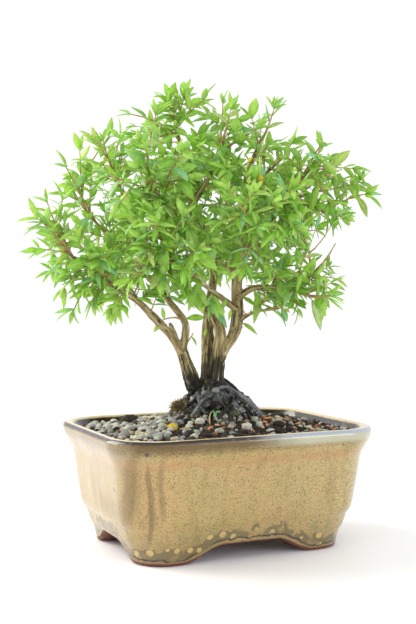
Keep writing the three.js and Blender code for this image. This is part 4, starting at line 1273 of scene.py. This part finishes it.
def limb_twigs(path, chance):
    """The short leafy twigs along the outer part of a branch, and the one that goes on from its end."""
    twigs = new_leafage()
    way = smooth_way(path, 5)
    travelled = 0
    spot = 0.32 * way_length(way)
    turn = chance.between(0, FULL_TURN)
    for before, after in zip(way, way[1:]):
        ahead = (after - before).normalized()
        while travelled + (after - before).length > spot:
            turn += GOLDEN_ANGLE
            foot = before + ahead * (spot - travelled)
            side = side_way(foot, ahead, turn, chance.between(8, 19), chance, 0.45)
            pairs = (0.3, 0.55, 0.8) if chance.between(0, 1) > 0.4 else (0.45, 0.75)
            add_twig(twigs, chance, side, (0.45, 0.25), pairs, chance.between(7, 11.5), 3)
            spot += chance.between(3.4, 6.2) * (1 + 1.3 * openness(foot) + (0.5 if foot.x > 16 else 0))
        travelled += (after - before).length
    shares = (-0.1, 0.3, 0.65, 1)
    end = [way[-1] + ahead * 13 * share + Vector((0, 0, 4 * share * share)) for share in shares]
    add_twig(twigs, chance, end, (0.8, 0.3), (0.4, 0.6, 0.8), 11, 5)
    return turned_to_pot(twigs)


# Twigs that reach out of the crown: each goes from the nearest branch to its own place, and its last
# leaves hang or stand clear of the others.
REACHING_TWIGS = {
    "low_left_twigs": [(-72, -38, 128), (-62, -34, 133), (-53.7, -26, 129), (-35.5, -16, 136),
                       (-49, -38, 147), (-59.6, -30, 138), (-26, -14, 143), (-77, -37, 139),
                       (-66, -36, 142), (-87, -12, 148), (-82, -15, 153)],
    "left_twigs": [(-78, -30, 174), (-71, -26, 167), (-83, -30, 166), (-51, -8, 219), (-43, 0, 222),
                   (-60, -6, 211), (-69, 4, 207), (-36, 6, 219)],
    "middle_twigs": [(-17, -21, 141), (-10, -15, 136), (-2, -10, 132), (-25, -24, 146), (-15, 6, 150)],
    "low_right_twigs": [(57, -19, 134), (45.1, -16, 137), (49.6, -24, 144)],
    "top_twigs": [(-17, 6, 242), (-25, 10, 238), (-7, 2, 240)],
    "right_twigs": [(70, 10, 198), (76, 8, 204), (83, 6, 190), (64, 16, 207), (80, 12, 197)],
    "front_twigs": [(7.7, -50, 173), (40, -45, 177), (-26, -48, 181), (-13.5, -49, 170), (25, -44, 168),
                    (8.7, -32, 157), (-3.7, -34, 162), (-37, -47, 170), (-45, -40, 162), (22, -38, 195),
                    (44, -33, 192), (60, -16, 184), (-39, -35, 183)],
}

# Single leaves and bare twigs on the stems. A leaf is its foot, its tip, its width and its tint.
STEM_LEAVES = [
    ((-5.2, 0.6, 122.3), (-15.2, -3, 122.4), 4.4, 0.45), ((-2, -0.4, 129.2), (6.5, -8, 119.1), 4.6, 0.82),
    ((-8.4, -17.3, 142), (-12.1, -20, 128.9), 7, 0.3), ((-27.2, -8, 121.6), (-28.9, -10, 128.2), 2.4, 0.5),
    ((-27.7, -8, 121.5), (-32.6, -10, 114.3), 3, 0.4), ((-12.6, -8, 112.4), (-9.2, -9, 107.8), 1.4, 0.2),
    ((-12.6, -8, 112.4), (-11.6, -8, 114.6), 0.8, 0.5), ((23.8, -2, 137.5), (22.5, -8, 119.5), 4.4, 0.35),
    ((15, 0, 133.7), (21.8, -6, 130.1), 2.8, 0.3), ((26, -4.8, 126.2), (33.4, -8, 128.5), 2.2, 0.6),
    ((35.8, -8, 128), (39.2, -9, 120.7), 4, 0.82), ((37.1, -8, 128), (40.6, -8, 125.5), 1.8, 0.99),
    ((15, 0.5, 119.4), (23.5, -5, 114.2), 2.4, 0.62), ((50.5, -24.5, 132), (57, -24, 116.5), 5, 0.9),
    ((-4.5, -0.5, 117), (-5.6, -2, 112), 1.8, 0.5), ((6, -3, 133), (4.2, -6, 127), 3, 0.5),
    ((9, -1, 127), (7.4, -4, 121.5), 2, 0.62), ((-24, -37, 181), (-22.5, -40, 168.5), 6.6, 0.64),
    ((-13.4, -49, 170), (-9.5, -50, 158.5), 5.8, 0.6), ((22.2, -38, 197), (24.4, -39.5, 190.5), 4.4, 1),
    ((16.5, -34, 203), (19, -35, 205.5), 2.4, 1), ((43.5, -33, 193), (47.5, -34, 192), 2.4, 1),
    ((61, -16, 184), (60.4, -18, 179.5), 2.6, 1),
]
STEM_TWIGS = [
    ((0.6, 0.35), [(-16.5, -3, 120.5), (-20.6, -4, 122.3), (-24, -6, 122.3), (-27.7, -8, 121.5)]),
    ((0.45, 0.3), [(-16.4, -4, 107.5), (-14.8, -5, 108.8), (-13.6, -7, 111), (-12.6, -8, 112.4)]),
    ((0.7, 0.35), [(27, -4.4, 126.3), (32.4, -7, 127.1), (35.8, -7.8, 128), (39, -8.4, 131)]),
    ((0.5, 0.3), [(14.5, 0, 122.5), (17.2, -0.8, 124), (19, -1.6, 124.6), (19.8, -2, 126.6)]),
    ((0.4, 0.3), [(17.2, -0.8, 124), (16.2, -1, 124.8), (15.7, -1, 126)]),
    ((0.5, 0.3), [(-34, -38, 194), (-33.5, -42, 184), (-32, -44, 174), (-31, -46, 163)]),
    ((1.1, 1.1), [(18.5, 0, 184), (18.8, -3, 190), (19.3, -5, 196)]),
    ((0.4, 0.3), [(16.5, -34, 190), (16, -34, 197), (16.5, -34, 203)]),
]


def nearest_on_limbs(tip):
    """The place on the leafy branches that is nearest to a point."""
    ways = [smooth_way(path, 5) for _, leafy, path in LIMBS.values() if leafy]
    points = [point for way in ways for point in way[len(way) // 4 :]]
    return min(points, key=lambda point: (point - tip).length)


def reaching_shape(tips, chance):
    twigs = new_leafage()
    shares = (0, 0.2, 0.4, 0.6, 0.8, 1)
    for tip in [Vector(tip) for tip in tips]:
        start = nearest_on_limbs(tip)
        middle = (start + tip) / 2 + Vector((0, 0, 0.12 * (tip - start).length))
        way = [start * (1 - s) ** 2 + middle * 2 * s * (1 - s) + tip * s ** 2 for s in shares]
        add_twig(twigs, chance, way, (0.55, 0.3), (0.35, 0.55, 0.78), 12, 5)
    return turned_to_pot(twigs)


def stem_leaves_shape():
    leaves = new_leafage()
    for radii, points in STEM_TWIGS:
        add_shape(leaves, rod_shape(smooth_way(points, 2), radii, 6), age=-1)
    for foot, tip, width, tint in STEM_LEAVES:
        reach = Vector(tip) - Vector(foot)
        slimness = [abs(form["width"] - width / reach.length) for form in LEAF_FORMS]
        form = leaf_forms[slimness.index(min(slimness))]
        matrix = leaf_matrix(Vector(foot), reach, Vector((0.25, -1, 0.7)), reach.length, 0)
        add_shape(leaves, form, matrix, tint=tint, age=0.4)
    return turned_to_pot(leaves)


# Serissa leaf and green shoot: light yellow-green with a paler midrib and side veins, glossy above
# and dull olive below, and light comes through it. Some leaves are blue-green and a few have turned
# yellow. The twigs are in the same mesh and turn from brown to green.
def leaf_look():
    look, node, mm = new_look("serissa leaf and green twig")
    tint, age, across, along, under = [node("Attribute", attribute_name=name, out="Fac")
                                       for name in ("tint", "age", "across", "along", "under")]
    cloudy = node("TexNoise", mm, 0.35, 3)
    green = node("MapRange", tint, 0.992, 0.985)
    twig = node("MapRange", age, -0.5, -0.6)

    # A pale midrib, and side veins that leave it at a slant.
    off_rib = node("Math.ABSOLUTE", across)
    vein_place = node("Math.MULTIPLY", node("Math.MULTIPLY_ADD", off_rib, -0.16, along), 7)
    veins = node("MapRange", node("Math.PINGPONG", vein_place, 0.5), 0.09, 0.02)
    veins = node("Math.MULTIPLY", veins, node("MapRange", off_rib, 0.95, 0.6, 0, 0.3))
    ribs = node("Math.MAXIMUM", node("MapRange", off_rib, 0.16, 0.02, 0, 0.6), veins)

    colour = node("ValToRGB", tint, stops=[
        (0, "#82BE42"), (0.2, "#9CD454"), (0.4, "#B6E468"), (0.55, "#CAEE7C"), (0.66, "#E0F898"),
        (0.7, "#BAE272"), (0.78, "#90D4A0"), (0.86, "#AAE0BC"), (0.91, "#C8D492"), (0.985, "#D4E298"),
        (0.992, "#FFD83A"), (1, "#FFDC40")])
    young = node("Math.MULTIPLY", green, node("MapRange", age, 0.55, 1, 0, 0.55))
    colour = node("Mix", young, colour, "#C4EE74")
    colour = node("VectorMath.SCALE", colour, node("MapRange", cloudy, 0.3, 0.7, 0.85, 1.15))
    colour = node("Mix", ribs, colour, "#DCF0A6")
    colour = node("Mix", node("Math.MULTIPLY", under, 0.5), colour, "#BCD088")
    twig_colour = node("ValToRGB", cloudy, stops=[(0.35, "#9A7048"), (0.65, "#C4AE6E")])
    colour = node("Mix", twig, colour, twig_colour)

    relief = node("Math.MULTIPLY_ADD", ribs, -0.6, node("TexNoise", mm, 1.3, 3))
    bump = node("Bump", named={"Height": relief, "Strength": 0.3, "Distance": 0.2 * MILLIMETRE})
    skin = node("BsdfPrincipled", named={
        "Base Color": colour, "Roughness": node("MapRange", under, 0, 1, 0.4, 0.65), "Normal": bump,
        "Specular IOR Level": 0.4})
    glow = node("Mix", node("Math.MULTIPLY", green, 0.5), colour, "#E2FA84")
    see_through = node("MapRange", twig, 0, 1, 0.5, 0)
    node("OutputMaterial", node("MixShader", see_through, skin, node("BsdfTranslucent", glow)))
    return look


leafage = leaf_look()
leaf_chance = Chance(LEAF_SEED)
for number, way in enumerate(shoots, 1):
    spray = spray_shape(way, leaf_chance)
    place(spray, f"leafy_shoot_{number:02d}", leafage, "leaf", f"spray_{number:02d}")
for name, (_, leafy, path) in LIMBS.items():
    if leafy:
        place(limb_twigs(path, leaf_chance), f"twigs_on_{name.replace(' ', '_')}", leafage, "leaf")
for name, tips in REACHING_TWIGS.items():
    place(reaching_shape(tips, leaf_chance), name, leafage, "leaf")
place(stem_leaves_shape(), "leaves_on_the_stems", leafage, "leaf")

# Things that lie on the soil: granules and pebbles at places of their own, chips of wood, dry straws,
# a fallen yellow leaf and a seedling. A stone or a chip is its middle, with its height over the soil,
# then its three sizes, and its turn where that matters.
LOOSE_STONES = [
    ((-26, -33, 0.8), (4.2, 4, 2.6)), ((-4.5, -31, 0.8), (4, 3.4, 2.8)),
    ((-14.4, -37, 0.8), (4.6, 3.6, 2.8)), ((2, -35, 1), (5.4, 4.4, 4)), ((12.3, -24, 1), (4, 3.6, 3.4)),
    ((10.6, -32, 1), (3.6, 3.2, 3)), ((-18, -20, 1.2), (4.8, 4, 3.4)), ((-36, -13, 1), (5.2, 4.6, 4)),
    ((13.3, -40, 0.5), (4.6, 3, 1.8)), ((-8.5, -6.4, 12.2), (4.6, 3.4, 2.9), 0.2),
    ((-5.2, -12.6, 14.2), (4.6, 3, 2.6), 0.5),
]
PEAT_LUMPS = [
    ((-40, 25, 1.5), (10, 9, 7)), ((-28, -32, 0.6), (6, 5, 3)), ((-22, -39, 0.4), (7, 4, 2.2)),
    ((24, -30, 0.8), (7, 6, 4)), ((44, 8, 1), (8, 7, 4.5)), ((30, 20, 1.2), (7, 6, 5)),
]
WOOD_CHIPS = [
    ((22, -20, 1.6), (8, 2.6, 1.2), 0.5), ((24.5, -29, 1), (5, 2, 0.9), -0.2),
    ((16.3, -27.8, 1.2), (4.5, 2.4, 1.1), 1.2), ((-20, -21, 1), (3.4, 1.6, 0.8), 0.8),
    ((40, -20, 0.8), (4, 2.4, 1), 0.3), ((-52, -10, 1.4), (4.6, 1.8, 0.9), 2.2),
    ((36, 14, 1), (5, 2.2, 1), 1.9), ((8, 36, 1), (4.2, 2, 0.9), 0.9),
]
STRAWS = [
    [(-39, -1, 3), (-37, 5, 4), (-36, 12, 3)], [(-14.5, -25, 0.6), (-13.5, -22.5, 3.2), (-11.8, -20.5, 5)],
    [(-31, -24, 1), (-27, -26, 1.6), (-23, -25.5, 1)], [(30, -14, 1), (34, -12, 2), (38, -13.5, 1)],
    [(48, 20, 1), (51, 16, 1.8), (52, 11, 1)], [(-55, -22, 2.4), (-50, -24, 3), (-46, -23, 2)],
]
THINGS_SEED = 4242
BROAD_LEAF = 5
MOSS_CLUMP = {"middle": (-18.5, -8.5, 73.5), "reach": (4.5, 4.5, 4), "count": 420, "length": 2.2}
FALLEN_LEAF = {"foot": (-36.5, -19.5, 2.6), "length": 8.2}
SEEDLING_PLACE = (-10.5, -20.5)

# A seedling's leaves: the way each points, its length, and how far it rises or hangs.
SEEDLING_LEAVES = [(0.3, 3.4, -0.9), (2.4, 2.8, 0.2), (4.2, 3.6, -0.6), (5.4, 3, 0.3)]


def on_soil(spot):
    return Vector((spot[0], spot[1], soil_height(spot[0], spot[1]) + spot[2]))


def loose_shape(stones, chance):
    loose = new_bits()
    stone = stone_shape()
    for spot, size, *turn in stones:
        turned = Matrix.Rotation(turn[0] if turn else chance.between(0, FULL_TURN), 4, "Z")
        matrix = Matrix.Translation(on_soil(spot)) @ turned @ Matrix.Diagonal((*size, 1))
        add_shape(loose, stone, matrix, tint=chance.between(0, 1))
    bmesh.ops.subdivide_edges(loose, edges=loose.edges, cuts=2, use_grid_fill=True)
    for vertex in loose.verts:
        vertex.co += vertex.normal * 0.5 * noise.noise(vertex.co / 1.7)
    return loose


def straws_shape():
    straws = new_bits()
    for number, points in enumerate(STRAWS):
        way = smooth_way([on_soil(point) for point in points], 4)
        add_shape(straws, rod_shape(way, (0.35, 0.2), 6), tint=number / len(STRAWS))
    return straws


def fibres_shape(middle, reach, count, length, chance):
    """A tuft: short curved fibres that stand out of a clump in all directions."""
    tuft = new_bits()
    middle = Matrix.Rotation(TREE_TURN, 3, "Z") @ Vector(middle)
    for _ in range(count):
        out = Vector((chance.between(-1, 1), chance.between(-1, 1), chance.between(-0.2, 1))).normalized()
        start = middle + Vector(out[k] * reach[k] for k in range(3)) * chance.between(0.55, 1)
        bend = Vector((chance.between(-1, 1), chance.between(-1, 1), chance.between(-0.6, 0.8)))
        way = [start + out * length * share + bend * length * 0.5 * share * share for share in (0, 0.5, 1)]
        add_shape(tuft, rod_shape(way, (0.24, 0.1), 3), tint=chance.between(0, 1))
    return tuft


def fallen_leaf_shape():
    fallen = new_leafage()
    foot = on_soil(FALLEN_LEAF["foot"])
    matrix = leaf_matrix(foot, Vector((1, 0.1, 0)), Vector((0, -0.5, 1)), FALLEN_LEAF["length"], 0.2)
    add_shape(fallen, leaf_forms[BROAD_LEAF], matrix, tint=1, age=0.4)
    return fallen


def seedling_shape():
    seedling = new_leafage()
    way = [on_soil((*SEEDLING_PLACE, rise)) + Vector((0.25 * rise, 0, 0)) for rise in (-1, 1, 3, 5)]
    add_shape(seedling, rod_shape(way, (0.3, 0.2), 5), age=-1)
    for turn, length, rise in SEEDLING_LEAVES:
        reach = Vector((math.cos(turn), math.sin(turn), rise))
        matrix = leaf_matrix(way[-1], reach, Vector((0, -0.6, 1)), length, 0)
        add_shape(seedling, leaf_forms[BROAD_LEAF], matrix, tint=0.82, age=0.4)
    return seedling


straw = grit_look("dry straw and rootlets", ["#D8BC7E", "#C7A468", "#E0CC98"], 0.7)
wood_chip = grit_look("chips of bark and wood", ["#E8C68C", "#C98A58", "#D8A878", "#A8683E"], 0.8)
dead_moss = grit_look("dry brown moss", ["#7E6A3C", "#96835A", "#5E4E2E", "#A89868", "#6E6A34"], 0.9)
things_chance = Chance(THINGS_SEED)
place(loose_shape(LOOSE_STONES, things_chance), "loose_pebbles", pumice, "soil")
place(loose_shape(PEAT_LUMPS, things_chance), "loose_peat_lumps", peat, "soil")
place(loose_shape(WOOD_CHIPS, things_chance), "bark_and_wood_chips", wood_chip, "soil")
place(straws_shape(), "dry_straws", straw, "soil")
place(fibres_shape(**MOSS_CLUMP, chance=things_chance), "dry_moss_clump", dead_moss, "soil")
place(fallen_leaf_shape(), "fallen_yellow_leaf", leafage, "leaf")
place(seedling_shape(), "seedling", leafage, "leaf")

# Stage: a sheet of matt white paper as the floor and a white surround, with the soft light of one
# large window on the left and a small one in front on the right. The camera's place and target are in
# millimetres from the pot's middle, and the windows' places and sizes are in metres.
CAMERA_PLACE = (-251.1, -538.5, 141.3)
CAMERA_TARGET = (-3.36, 1.54, 125.3)
CAMERA_LENS = 62.9
SENSOR_WIDTH = 36
NEAREST_SEEN = 0.01
FLOOR_SIZE = 6
SURROUND_STRENGTH = 1.06
LIT_POINT = Vector((0, 0, 0.12))
WINDOWS = [
    ("window on the left", (-0.75, 0.62, 0.62), 0.85, 13, "#FFF9F0"),
    ("window on the right", (0.62, -0.86, 0.3), 0.36, 2.6, "#EEF2FF"),
]

floor_look, node, mm = new_look("matt white paper")
floor_colour = node("ValToRGB", node("TexNoise", mm, 0.01), stops=[(0.3, "#FAFBFD"), (0.7, "#FDFDFE")])
node("OutputMaterial", node("BsdfPrincipled", named={"Base Color": floor_colour, "Roughness": 0.7}))
floor_shape = bmesh.new()
bmesh.ops.create_grid(floor_shape, x_segments=2, y_segments=2, size=FLOOR_SIZE)
floor_mesh = as_mesh(floor_shape, "floor")
floor_mesh.materials.append(floor_look)
floor = new_object("floor", floor_mesh)

world = bpy.data.worlds.new("white surround")
world.use_nodes = True
world.node_tree.nodes["Background"].inputs[0].default_value = (1, 1, 1, 1)
world.node_tree.nodes["Background"].inputs[1].default_value = SURROUND_STRENGTH
bpy.context.scene.world = world
bpy.context.scene.view_settings.view_transform = "Standard"

for name, lamp_place, size, watts, colour in WINDOWS:
    lamp = bpy.data.lights.new(name, "AREA")
    lamp.size = size
    lamp.energy = watts
    lamp.color = linear(colour)[:3]
    holder = new_object(name, lamp)
    holder.location = lamp_place
    holder.rotation_euler = (LIT_POINT - holder.location).to_track_quat("-Z", "Y").to_euler()

camera = bpy.data.cameras.new("camera")
camera.lens = CAMERA_LENS
camera.sensor_width = SENSOR_WIDTH
camera.clip_start = NEAREST_SEEN
viewer = new_object("camera", camera)
viewer.location = (POT_MIDDLE + Vector(CAMERA_PLACE)) * MILLIMETRE
aim = (POT_MIDDLE + Vector(CAMERA_TARGET)) * MILLIMETRE - viewer.location
viewer.rotation_euler = aim.to_track_quat("-Z", "Y").to_euler()
bpy.context.scene.camera = viewer
